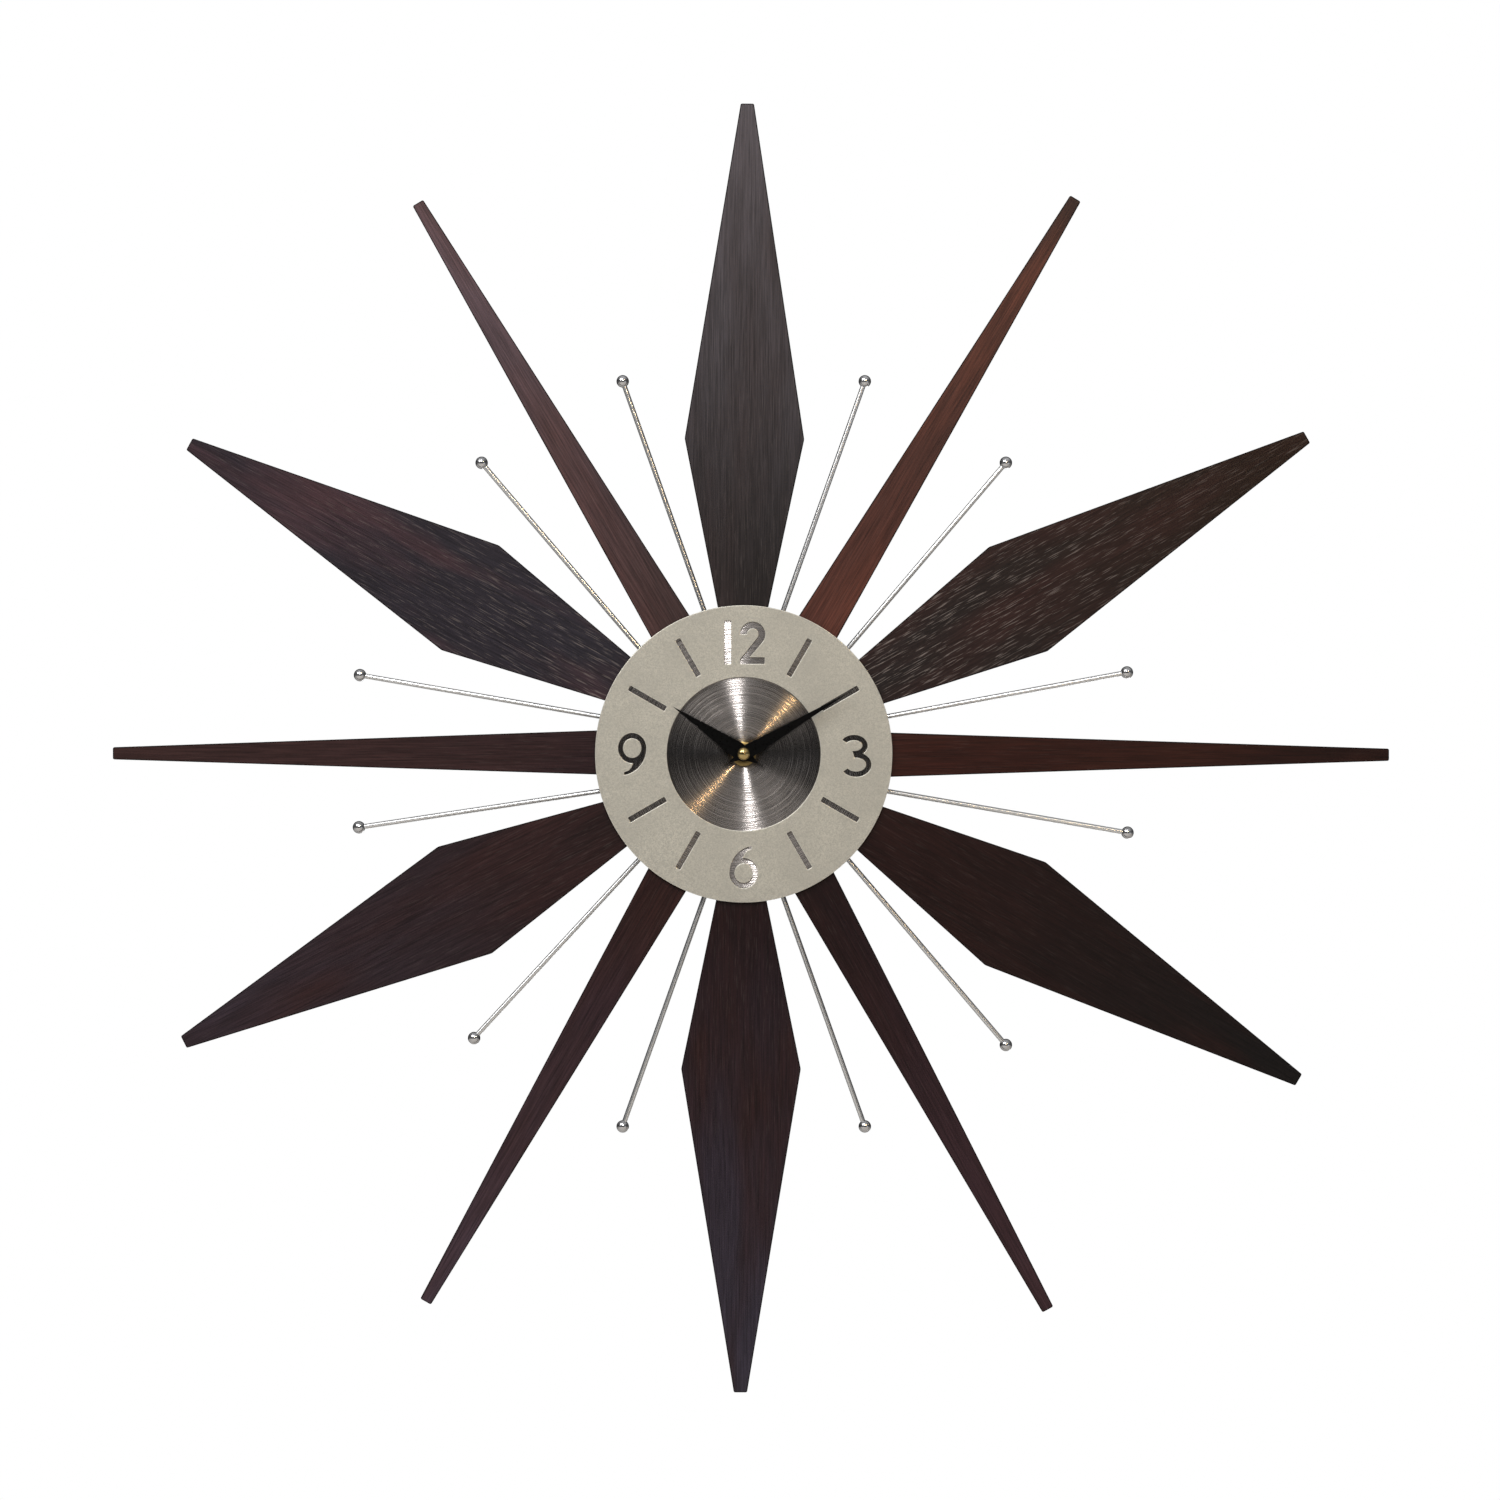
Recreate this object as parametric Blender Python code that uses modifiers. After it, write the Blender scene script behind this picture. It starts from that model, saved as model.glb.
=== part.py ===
"""Sunburst wall clock: twelve veneered blades and twelve ball-ended rods round a pierced dial.

The model is drawn in the dial's own coordinates, in millimetres: +X to 3 o'clock, +Y to
12 o'clock and +Z out of the wall towards the room, with the origin on the hands' shaft at the
wall. One empty stands that frame upright, so in the world the dial faces -Y and 12 is up.
Clock angles are degrees clockwise from 12 o'clock.
"""

from math import acos, atan2, cos, degrees, pi, radians, sin, tan

import bmesh
import bpy
from mathutils import Matrix, Vector

MM = 0.001
TOUCH = 0.3              # gap between pieces that touch
RUN = 0.15               # radial running clearance of a shaft, arbor or pipe

# ---- blades ----
BLADE_COUNT = 12
BLADE_THICK = 6.0
BLADE_ROOT_R = 54.0      # where a blade starts under the dial
BLADE_TIP_R = 377.0      # mean radius of the blades' tips
WIDE_ROOT_W = 16.5
WIDE_SHOULDER_R = 186.0
WIDE_SHOULDER_W = 70.6
WIDE_TIP_W = 7.8
WIDE_SHOULDER_ROUND = 5.0
BLADE_ROOT_GAP = 5.6      # between two blades at their roots
NARROW_TIP_W = 7.2
TIP_ROUND = 1.0
# Hand-assembly scatter, blade by blade clockwise from 12 o'clock.
BLADE_LEAN = (0.5, 1.0, 0.7, 0.0, 0.4, 1.3, 0.1, -0.2, 3.2, -0.1, -1.3, -0.8)      # degrees
BLADE_SHIFT = (-1.2, -1.0, -0.4, 0.5, 0.2, 0.0, 1.3, 2.3, -2.8, 1.0, 3.3, 1.3)     # sideways
BLADE_REACH = (7.0, 5.0, 4.5, 4.0, 3.0, -3.0, 0.0, -3.0, -5.0, -4.5, -2.0, 1.0)    # along

# ---- rods and balls ----
ROD_R = 1.45
ROD_SPREAD = 12.0        # angle of a ball from its narrow blade
ROD_FOOT_SPREAD = 14.8   # the same where the rod enters the hub
ROD_HOLE_DEPTH = 22.0
BALL_R = 3.7
BALL_CENTRE_R = 232.0
SOCKET_DEPTH = 2.2
ROD_SCATTER = {102: -0.4, 222: 1.5, 258: 1.2, 282: -0.4}    # clock angle: extra degrees

# ---- dial ----
RING_OUTER_R = 87.7
RING_INNER_R = 45.4
RING_THICK = 1.5
HUB_THICK = 8.0
HUB_INSET = 3.7          # hub's and disc's edges inside the ring's
DISC_INSET = 4.7
BOSS_GAP = 14.0          # hub's raised middle to the blades' roots
DISC_THICK = 0.8
BAR_INNER_MARGIN = 7.8   # ring's edges to the hour bars pierced through it
BAR_OUTER_MARGIN = 9.7
BAR_W = 3.2
BAR_ROUND = 0.5
FIGURE_BAND = 24.8       # length of the bars that the numerals are drawn beside
STROKE = 3.1             # numeral stroke
BRIDGE_W = 1.6           # strips that hold the counters of 6 and 9
BRIDGE_THICK = 0.6
BRIDGE_HALF_LONG = 11.0

# ---- hands and nuts ----
HAND_THICK = 0.6
HAND_WAIST = 4.0         # widest place, ahead of the shaft
HAND_TAIL = 11.0
HOUR_HAND_LONG = 50.5
HOUR_HAND_W = 10.0
HOUR_HAND_ANGLE = 303.7
MINUTE_HAND_LONG = 70.5
MINUTE_HAND_W = 8.4
MINUTE_HAND_ANGLE = 59.7
COLLET_LONG = 0.8
COLLET_WALL = 0.75
HAND_RISE = 1.7          # bushing's end to the hour hand, and hand to hand
DIAL_NUT_R = 7.35
DIAL_NUT_THICK = 2.4
NUT_TO_BUSHING_END = 1.0
CAP_NUT_R = 3.55
CAP_NUT_HIGH = 3.9
CAP_NUT_DEPTH = 2.2

# ---- coaxial shafts at the centre ----
SECONDS_ARBOR_R = 0.6
CANNON_WALL = 0.7
HOUR_TUBE_WALL = 0.75
BUSHING_WALL = 1.15

# ---- gears: module, teeth ----
ADDENDUM = 0.85          # of the module
DEDENDUM = 1.15
ROOT_SHARE = 0.30        # half a tooth's width at its root, in tooth spacings
TIP_SHARE = 0.10
TRAIN_CENTRES = 11.5     # shaft to third wheel
STEP_CENTRES = 8.4       # rotor to intermediate, intermediate to shaft
MOTION_CENTRES = 12.0    # shaft to motion wheel, motion wheel to setting pinion
CENTRE_TEETH = 64
THIRD_TEETH = 60
SECONDS_TEETH = 40
STEP_TEETH = 48
TRAIN_PINION = 8
CANNON_TEETH = 12
MOTION_TEETH = 36
MOTION_PINION = 10
HOUR_TEETH = 40
WHEEL_THICK = 0.6
MOTION_THICK = 0.9
PINION_EXTRA = 0.3       # a pinion stands this far past its wheel, each side
CORE_EXTRA = 0.1         # a wheel's core stands this far past its top pinion
FOOT = 0.6               # core below a wheel, down to the boss it stands on
FIRST_RISE = 2.9         # back wall to the intermediate wheel, then wheel to wheel
SECONDS_RISE = 1.8
THIRD_RISE = 2.0
CENTRE_RISE = 2.2
MOTION_RISE = 1.9
HOUR_RISE = 2.1
HEADROOM = 1.3           # hour wheel to the front wall
STEP_ANGLE = 330.0       # clock angles of the wheels round the shaft
ROTOR_ANGLE = 10.0       # of the rotor from the intermediate wheel
THIRD_ANGLE = 75.0
MOTION_ANGLE = 285.0
KNOB_ANGLE = 320.0       # of the setting knob from the motion wheel

# ---- battery and case ----
BATTERY_R = 7.15
BATTERY_LONG = 49.2
BATTERY_NUB_R = 2.75
BATTERY_NUB_LONG = 1.3
BAY_GAP = 0.25
BATTERY_SINK = 1.0       # least depth of the battery behind the case's back
CASE_WALL = 1.2
BACK_WALL = 1.6
FRONT_WALL = 1.3
PARTITION = 0.8
CASE_ROUND = 3.0
WHEEL_CLEAR = 0.6        # wheel tips to the battery's partition
SPLIT_Z = 8.0            # joint line between the case halves
CONTACT_THICK = 0.4
CONTACT_BELOW = 5.0      # strip's reach past the battery's axis, down and to the front
CONTACT_IN_FRONT = 4.5
CONTACT_END_GAP = 2.0
TAIL_RISE = 1.6          # the strip's tail above the board
DIMPLE_R = 2.2
PARTITION_GAP = 2.0      # between the partition's ends and the side walls, for the strips

# ---- hanging eye ----
EYE_HALF_W = 7.5
EYE_HIGH = 10.5
EYE_THICK = 2.4
EYE_SLOT_HALF_W = 3.6
EYE_SLOT_HIGH = 5.6
EYE_BAND = 2.4           # material above the slot
EYE_ROUND = 3.0
EYE_SLOT_ROUND = 0.8
NAIL_NOTCH_R = 1.6

# ---- motor and circuit ----
MAGNET_R = 1.6
MAGNET_LONG = 2.4
STATOR_THICK = 1.0
STATOR_BORE_R = 2.1
STATOR_HALF_H = 2.9
STATOR_ARM_W = 4.8
COIL_R = 3.3
COIL_LONG = 20.0
FLANGE_R = 3.7
FLANGE_THICK = 0.9
CORE_W = 3.0
CORE_THICK = 1.0
CORE_OVERHANG = 4.2
KNOB_TO_STATOR = 0.3
BOARD_THICK = 0.8
BOARD_HIGH = 6.7
BOARD_EDGE_GAP = 1.0
CHIP_R = 2.6
CHIP_HIGH = 1.0
CRYSTAL_R = 0.9
CRYSTAL_LONG = 5.0

# ---- setting knob ----
KNOB_R = 4.6
KNOB_THICK = 2.0
KNOB_FLUTES = 12
FLUTE_DEPTH = 0.5
KNOB_SHAFT_R = 1.0
POCKET_GAP = 0.6
POCKET_DEPTH = 2.6
POCKET_WALL = 1.0

# ---- posts, bosses and cores ----
ROTOR_POST_R = 0.4
STEP_POST_R = 0.45
THIRD_POST_R = 0.6
MOTION_POST_R = 0.7
POST_BOSS_R = 1.2
SHAFT_BOSS_R = 1.8
SHAFT_BOSS_HIGH = 1.9
PIVOT_FLOOR = 0.6        # back wall to the floor of the shaft's pivot hole
ROTOR_CORE_R = 0.8
STEP_CORE_R = 0.9
THIRD_CORE_R = 1.0
MOTION_CORE_WALL = 0.6
COLLAR_WALL = 0.8
STATOR_POST_R = 1.2
STATOR_POSTS_X = (-11.5, 12.5)

# ---- places ----

def polar(radius, angle):
    """Point at a clock angle."""
    return radius * sin(radians(angle)), radius * cos(radians(angle))


def add(point, other):
    return point[0] + other[0], point[1] + other[1]


def wheel_place(name):
    """Where a wheel turns."""
    step = polar(STEP_CENTRES, STEP_ANGLE)
    motion = polar(MOTION_CENTRES, MOTION_ANGLE)
    return {"shaft": (0.0, 0.0), "step": step, "rotor": add(step, polar(STEP_CENTRES, ROTOR_ANGLE)),
            "third": polar(TRAIN_CENTRES, THIRD_ANGLE), "motion": motion,
            "knob": add(motion, polar(MOTION_CENTRES, KNOB_ANGLE))}[name]


# ---- derived sizes ----
ROOT_PITCH = 2 * BLADE_ROOT_R * sin(pi / BLADE_COUNT)
NARROW_ROOT_W = 2 * (ROOT_PITCH - BLADE_ROOT_GAP) - WIDE_ROOT_W
HUB_R = RING_OUTER_R - HUB_INSET
DISC_R = RING_OUTER_R - DISC_INSET
BOSS_R = BLADE_ROOT_R - BOSS_GAP
BAR_START_R = RING_INNER_R + BAR_INNER_MARGIN
BAR_END_R = RING_OUTER_R - BAR_OUTER_MARGIN
BAND_R = (BAR_START_R + BAR_END_R) / 2
FIGURE_SCALE = (BAR_END_R - BAR_START_R) / FIGURE_BAND

CANNON_BORE = SECONDS_ARBOR_R + 2 * RUN
CANNON_R = CANNON_BORE + CANNON_WALL
HOUR_BORE = CANNON_R + 1.6 * RUN
HOUR_TUBE_R = HOUR_BORE + HOUR_TUBE_WALL
BUSHING_BORE = HOUR_TUBE_R + 1.6 * RUN
BUSHING_R = BUSHING_BORE + BUSHING_WALL
SHAFT_HOLE = BUSHING_R + TOUCH

CENTRE_MODULE = 2 * TRAIN_CENTRES / (CENTRE_TEETH + TRAIN_PINION)
THIRD_MODULE = 2 * TRAIN_CENTRES / (THIRD_TEETH + TRAIN_PINION)
SECONDS_MODULE = 2 * STEP_CENTRES / (SECONDS_TEETH + TRAIN_PINION)
STEP_MODULE = 2 * STEP_CENTRES / (STEP_TEETH + TRAIN_PINION)
MOTION_MODULE = 2 * MOTION_CENTRES / (MOTION_TEETH + CANNON_TEETH)
HOUR_MODULE = 2 * MOTION_CENTRES / (HOUR_TEETH + MOTION_PINION)

# Middle heights of the wheels, from the wall.
STEP_Z = BACK_WALL + FIRST_RISE
SECONDS_Z = STEP_Z + SECONDS_RISE
THIRD_Z = SECONDS_Z + THIRD_RISE
CENTRE_Z = THIRD_Z + CENTRE_RISE
MOTION_Z = CENTRE_Z + MOTION_RISE
HOUR_Z = MOTION_Z + HOUR_RISE
HALF_PINION = WHEEL_THICK / 2 + PINION_EXTRA
HALF_MOTION_PINION = MOTION_THICK / 2 + PINION_EXTRA

BIGGEST_WHEEL = CENTRE_MODULE * (CENTRE_TEETH / 2 + ADDENDUM)
BAY_HIGH = 2 * (BATTERY_R + BAY_GAP)
CASE_HALF = max(BIGGEST_WHEEL + WHEEL_CLEAR + PARTITION + BAY_HIGH + CASE_WALL,
                (BATTERY_LONG + BATTERY_NUB_LONG) / 2 + 2 * TOUCH + CONTACT_THICK + CASE_WALL,
                wheel_place("rotor")[1] + STATOR_HALF_H + 2 * TOUCH + 2 * FLANGE_R + CASE_WALL)
INNER_HALF = CASE_HALF - CASE_WALL
INNER_FRONT = max(HOUR_Z + HEADROOM, BAY_HIGH + BATTERY_SINK)
CASE_DEPTH = INNER_FRONT + FRONT_WALL
BATTERY_Y = -INNER_HALF + BAY_GAP + BATTERY_R
BATTERY_Z = INNER_FRONT - BAY_GAP - BATTERY_R
PARTITION_Y = BATTERY_Y + BATTERY_R + BAY_GAP

HUB_BACK = CASE_DEPTH + TOUCH
HUB_FRONT = HUB_BACK + HUB_THICK
ROD_Z = (HUB_BACK + HUB_FRONT) / 2
BLADE_BACK = HUB_FRONT + TOUCH
BLADE_FRONT = BLADE_BACK + BLADE_THICK
DISC_BACK = BLADE_FRONT + TOUCH
DISC_FRONT = DISC_BACK + DISC_THICK
RING_BACK = DISC_FRONT + TOUCH
RING_FRONT = RING_BACK + RING_THICK
DIAL_NUT_FRONT = DISC_FRONT + TOUCH + DIAL_NUT_THICK
BUSHING_END = DIAL_NUT_FRONT + NUT_TO_BUSHING_END
HOUR_HAND_BACK = BUSHING_END + HAND_RISE
MINUTE_HAND_BACK = HOUR_HAND_BACK + HAND_THICK + HAND_RISE
CAP_NUT_BACK = MINUTE_HAND_BACK + HAND_THICK + TOUCH
CANNON_END = CAP_NUT_BACK + CAP_NUT_DEPTH - TOUCH
HOUR_TUBE_END = HOUR_HAND_BACK + HAND_THICK + TOUCH / 2

# name: (sRGB hex, metallic, roughness)
FINISHES = {
    "espresso_veneer": ("3A2A29", 0.0, 0.45),
    "satin_steel": ("C9CACC", 1.0, 0.35),
    "polished_steel": ("D6D6D8", 1.0, 0.08),
    "champagne_enamel": ("ADABA1", 0.3, 0.5),
    "spun_steel": ("8A8380", 1.0, 0.28),
    "black_lacquer": ("0B0B0C", 0.0, 0.35),
    "polished_brass": ("C9B27A", 1.0, 0.15),
    "raw_fibreboard": ("8C6A4B", 0.0, 0.85),
    "black_styrene": ("17181A", 0.0, 0.45),
    "white_acetal": ("E6E4DC", 0.0, 0.4),
    "yellow_acetal": ("D9BC5A", 0.0, 0.4),
    "ferrite": ("3B3C40", 0.2, 0.5),
    "silicon_steel": ("8F9195", 1.0, 0.4),
    "copper_winding": ("A5532B", 1.0, 0.35),
    "circuit_laminate": ("2E6B45", 0.0, 0.5),
    "nickel_strip": ("B9B7AD", 1.0, 0.3),
    "battery_jacket": ("2F4A63", 0.0, 0.4),
}


# ---- helpers ----

def circle(radius, sides, centre=(0.0, 0.0)):
    return [add(centre, polar(radius, 360 * k / sides)) for k in range(sides)]


def ellipse_arc(centre, radii, start, end, segments):
    """Points along an ellipse, from one angle to another, counted from +X anticlockwise."""
    steps = [radians(start + (end - start) * k / segments) for k in range(segments + 1)]
    return [(centre[0] + radii[0] * cos(a), centre[1] + radii[1] * sin(a)) for a in steps]


def rounded(corners, segments=3):
    """Closed outline through (x, y, radius) corners, with an arc at each that has a radius."""
    loop = []
    for k, (x, y, radius) in enumerate(corners):
        here = Vector((x, y))
        if radius == 0:
            loop.append((x, y))
            continue
        back = (Vector(corners[k - 1][:2]) - here).normalized()
        ahead = (Vector(corners[(k + 1) % len(corners)][:2]) - here).normalized()
        half = back.angle(ahead) / 2
        centre = here + (back + ahead).normalized() * radius / sin(half)
        start = here + back * radius / tan(half) - centre
        end = here + ahead * radius / tan(half) - centre
        for n in range(segments + 1):
            spoke = start.lerp(end, n / segments).normalized() * radius
            loop.append(tuple(centre + spoke))
    return loop


def rectangle(x0, x1, y0, y1, radius=0.0):
    return rounded([(x0, y0, radius), (x1, y0, radius), (x1, y1, radius), (x0, y1, radius)])


def linear(channel):
    return channel / 12.92 if channel <= 0.04045 else ((channel + 0.055) / 1.055) ** 2.4


def make_finish(name):
    colour, metallic, roughness = FINISHES[name]
    made = bpy.data.materials.new(name)
    made.use_nodes = True
    shader = made.node_tree.nodes["Principled BSDF"]
    rgb = [linear(int(colour[k:k + 2], 16) / 255) for k in (0, 2, 4)]
    shader.inputs["Base Color"].default_value = (*rgb, 1.0)
    shader.inputs["Metallic"].default_value = metallic
    shader.inputs["Roughness"].default_value = roughness
    made.diffuse_color = (*rgb, 1.0)
    return made


def place(obj, at, turn, finish):
    """Stands an object in the dial's frame; a piece without a finish is a tool."""
    obj.location = Vector(at) * MM
    obj.rotation_euler.z = -radians(turn)
    obj.parent = DIAL_FRAME
    if finish is None:
        TOOLS.objects.link(obj)
        obj.hide_render = True
        obj.display_type = "WIRE"
    else:
        PARTS.objects.link(obj)
        obj.data.materials.append(MATERIALS[finish])
    return obj


def plate(name, loops, z0, z1, finish=None, at=(0.0, 0.0), turn=0.0):
    """Flat piece between two heights, cut from its outline; loops inside it are holes."""
    curve = bpy.data.curves.new(name, "CURVE")
    curve.dimensions = "2D"
    curve.fill_mode = "BOTH"
    curve.extrude = (z1 - z0) / 2 * MM
    for loop in loops:
        spline = curve.splines.new("POLY")
        spline.points.add(len(loop) - 1)
        for point, (x, y) in zip(spline.points, loop):
            point.co = (x * MM, y * MM, 0.0, 1.0)
        spline.use_cyclic_u = True
    drawn = bpy.data.objects.new(name, curve)
    bpy.context.scene.collection.objects.link(drawn)
    mesh = bpy.data.meshes.new_from_object(drawn.evaluated_get(bpy.context.evaluated_depsgraph_get()))
    bpy.data.objects.remove(drawn)
    bpy.data.curves.remove(curve)
    weld(mesh)
    mesh.materials.clear()
    obj = bpy.data.objects.new(name, mesh)
    return place(obj, (*at, (z0 + z1) / 2), turn, finish)


def weld(mesh):
    shape = bmesh.new()
    shape.from_mesh(mesh)
    bmesh.ops.remove_doubles(shape, verts=shape.verts, dist=1e-7)
    bmesh.ops.recalc_face_normals(shape, faces=shape.faces)
    shape.to_mesh(mesh)
    shape.free()


def turned(name, profile, steps, finish=None, at=(0.0, 0.0), hollow=False, z0=0.0):
    """Lathe work about +Z: (radius, height) points down the outside, and up a bore if hollow."""
    mesh = bpy.data.meshes.new(name)
    edges = [(k, k + 1) for k in range(len(profile) - 1)]
    if hollow:
        edges.append((len(profile) - 1, 0))
    mesh.from_pydata([(r * MM, 0.0, (z - z0) * MM) for r, z in profile], edges, [])
    obj = place(bpy.data.objects.new(name, mesh), (*at, z0), 0.0, finish)
    screw = obj.modifiers.new("turn", "SCREW")
    screw.steps = steps
    screw.render_steps = steps
    screw.use_smooth_shade = True
    screw.use_merge_vertices = True
    screw.merge_threshold = 1e-6
    return obj


def cylinder(name, radius, z0, z1, sides, finish=None, at=(0.0, 0.0)):
    shape = bmesh.new()
    bmesh.ops.create_cone(shape, cap_ends=True, segments=sides, radius1=radius * MM,
                          radius2=radius * MM, depth=(z1 - z0) * MM)
    mesh = bpy.data.meshes.new(name)
    shape.to_mesh(mesh)
    shape.free()
    return place(bpy.data.objects.new(name, mesh), (*at, (z0 + z1) / 2), 0.0, finish)


def box(name, low, high, finish=None):
    size = [(b - a) * MM for a, b in zip(low, high)]
    shape = bmesh.new()
    bmesh.ops.create_cube(shape, size=1.0, matrix=Matrix.Diagonal((*size, 1.0)))
    mesh = bpy.data.meshes.new(name)
    shape.to_mesh(mesh)
    shape.free()
    middle = [(a + b) / 2 for a, b in zip(low, high)]
    return place(bpy.data.objects.new(name, mesh), middle, 0.0, finish)


def boolean(obj, tool, operation):
    step = obj.modifiers.new(tool.name, "BOOLEAN")
    step.operation = operation
    step.solver = "EXACT"
    step.object = tool


def cut(obj, *tools):
    for tool in tools:
        boolean(obj, tool, "DIFFERENCE")


def join(obj, *tools):
    for tool in tools:
        boolean(obj, tool, "UNION")


# ---- gears ----

def gear_loop(teeth, module, phase=0.0):
    """Gear outline with one tooth at the phase, a clock angle; flanks are straight."""
    pitch = module * teeth / 2
    step = 360 / teeth
    root = pitch - DEDENDUM * module
    tip = pitch + ADDENDUM * module
    loop = []
    for k in range(teeth):
        middle = phase + k * step
        loop.append(polar(root, middle - ROOT_SHARE * step))
        loop.append(polar(tip, middle - TIP_SHARE * step))
        loop.append(polar(tip, middle + TIP_SHARE * step))
        loop.append(polar(root, middle + ROOT_SHARE * step))
    return loop


def meshed_phase(direction, teeth, other_teeth, other_phase):
    """Phase of a gear that meshes with another standing in the given direction from it."""
    there = other_teeth * (direction + 180 - other_phase) / 360
    return direction - 360 / teeth * (0.5 - there)


# ---- numerals: upright outlines about the middle of the band, drawn beside bars FIGURE_BAND long ----

def numeral_12():
    one = rectangle(-11.4, -7.5, -12.6, 13.0)
    bowl = (5.3, 5.0)
    outer = ellipse_arc(bowl, (7.4, 7.4), 180, -35, 10)
    inner = ellipse_arc(bowl, (3.5, 3.5), -35, 180, 8)
    foot = [(3.4, -8.6), (12.3, -8.6), (12.3, -12.5), (-2.1, -12.5), (-2.1, -9.7)]
    return [one, outer + foot + inner]


def numeral_3():
    upper, lower = (-0.6, 4.9), (0.6, -6.3)
    upper_out, lower_out = (8.1, 6.3), (9.1, 7.2)
    upper_in = (upper_out[0] - STROKE, upper_out[1] - STROKE)
    lower_in = (lower_out[0] - STROKE, lower_out[1] - STROKE)
    return [ellipse_arc(upper, upper_out, 148, -49, 8) + ellipse_arc(lower, lower_out, 63, -146, 9)
            + ellipse_arc(lower, lower_in, -146, 98, 9) + ellipse_arc(upper, upper_in, -100, 148, 8)]


def numeral_6():
    """The outside of the figure, then its counter."""
    bowl = (-0.1, -4.7)
    size = (8.3, 8.9)
    tail_size = (15.0, 16.0)
    left = bowl[0] - size[0]
    tail = ellipse_arc((left + tail_size[0], bowl[1]), tail_size, 172, 97, 7)
    throat = [(4.6, 9.6), (1.9, 8.5), (0.4, 6.8)]
    outside = ellipse_arc(bowl, size, 94, -180, 14) + tail + throat
    counter = ellipse_arc(bowl, (size[0] - STROKE + 0.2, size[1] - STROKE), 0, 330, 11)
    return [outside, counter]


def numeral_9():
    middle = (-0.3, -1.25)
    return [[(middle[0] - x, middle[1] - y) for x, y in loop] for loop in numeral_6()]


def figures():
    """All four numerals at their places on the dial, by clock angle."""
    drawn = {0: numeral_12(), 90: numeral_3(), 180: numeral_6(), 270: numeral_9()}
    placed = {}
    for angle, loops in drawn.items():
        middle = polar(BAND_R, angle)
        placed[angle] = [[add(middle, (x * FIGURE_SCALE, y * FIGURE_SCALE)) for x, y in loop]
                         for loop in loops]
    return placed


# ---- sunburst ----

def blade_outline(wide):
    if wide:
        half = [(BLADE_ROOT_R, WIDE_ROOT_W / 2, 0.0),
                (WIDE_SHOULDER_R, WIDE_SHOULDER_W / 2, WIDE_SHOULDER_ROUND),
                (BLADE_TIP_R, WIDE_TIP_W / 2, TIP_ROUND)]
    else:
        half = [(BLADE_ROOT_R, NARROW_ROOT_W / 2, 0.0),
                (BLADE_TIP_R, NARROW_TIP_W / 2, TIP_ROUND)]
    right = [(width, radius, corner) for radius, width, corner in half]
    left = [(-width, radius, corner) for radius, width, corner in reversed(half)]
    return right + left


def make_blades():
    for hour in range(BLADE_COUNT):
        corners = blade_outline(wide=hour % 2 == 0)
        reached = [(x, y + BLADE_REACH[hour] if y > WIDE_SHOULDER_R else y, r) for x, y, r in corners]
        angle = hour * 360 / BLADE_COUNT
        at = polar(BLADE_SHIFT[hour], angle + 90)
        plate(f"blade_{hour or 12:02d}", [rounded(reached)], BLADE_BACK, BLADE_FRONT,
              "espresso_veneer", at, angle + BLADE_LEAN[hour])


def rod_places():
    """Clock angle of each ball, and the clock angle that its rod points along."""
    places = []
    for hour in range(1, BLADE_COUNT, 2):
        middle = hour * 360 / BLADE_COUNT
        for side in (-1, 1):
            angle = middle + side * ROD_SPREAD
            angle += ROD_SCATTER.get(round(angle), 0.0)
            ball = polar(BALL_CENTRE_R, angle)
            mouth = polar(HUB_R, middle + side * ROD_FOOT_SPREAD)
            places.append((angle, degrees(atan2(ball[0] - mouth[0], ball[1] - mouth[1]))))
    return places


def make_rod(name, place, start, end, radius, sides, finish=None):
    """Round bar pointing at a ball; its ends are that far out, counted back from the ball."""
    angle, heading = place
    made = cylinder(name, radius, start, end, sides, finish)
    x, y = add(polar(BALL_CENTRE_R, angle), polar((start + end) / 2 - BALL_CENTRE_R, heading))
    made.location = Vector((x, y, ROD_Z)) * MM
    made.rotation_euler = (-pi / 2, 0.0, -radians(heading))
    return made


def make_rods_and_balls():
    foot = HUB_R - ROD_HOLE_DEPTH + TOUCH
    end = BALL_CENTRE_R - BALL_R + SOCKET_DEPTH - TOUCH
    for number, place in enumerate(rod_places(), 1):
        make_rod(f"rod_{number:02d}", place, foot, end, ROD_R, 10, "satin_steel")
        make_ball(f"ball_{number:02d}", place)


def make_ball(name, place):
    """Ball with a drilled socket that faces its rod; its own +Z points away from the rod."""
    angle, heading = place
    mouth_r = ROD_R + TOUCH
    rim = acos(mouth_r / BALL_R)
    arc = ellipse_arc((0.0, 0.0), (BALL_R, BALL_R), 90, -degrees(rim), 7)
    floor_z = -BALL_R + SOCKET_DEPTH
    ball = turned(name, arc + [(mouth_r, floor_z), (0.0, floor_z)], 12, "polished_steel")
    x, y = polar(BALL_CENTRE_R, angle)
    ball.location = Vector((x, y, ROD_Z)) * MM
    ball.rotation_euler = (-pi / 2, 0.0, -radians(heading))


# ---- dial and hands ----

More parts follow.
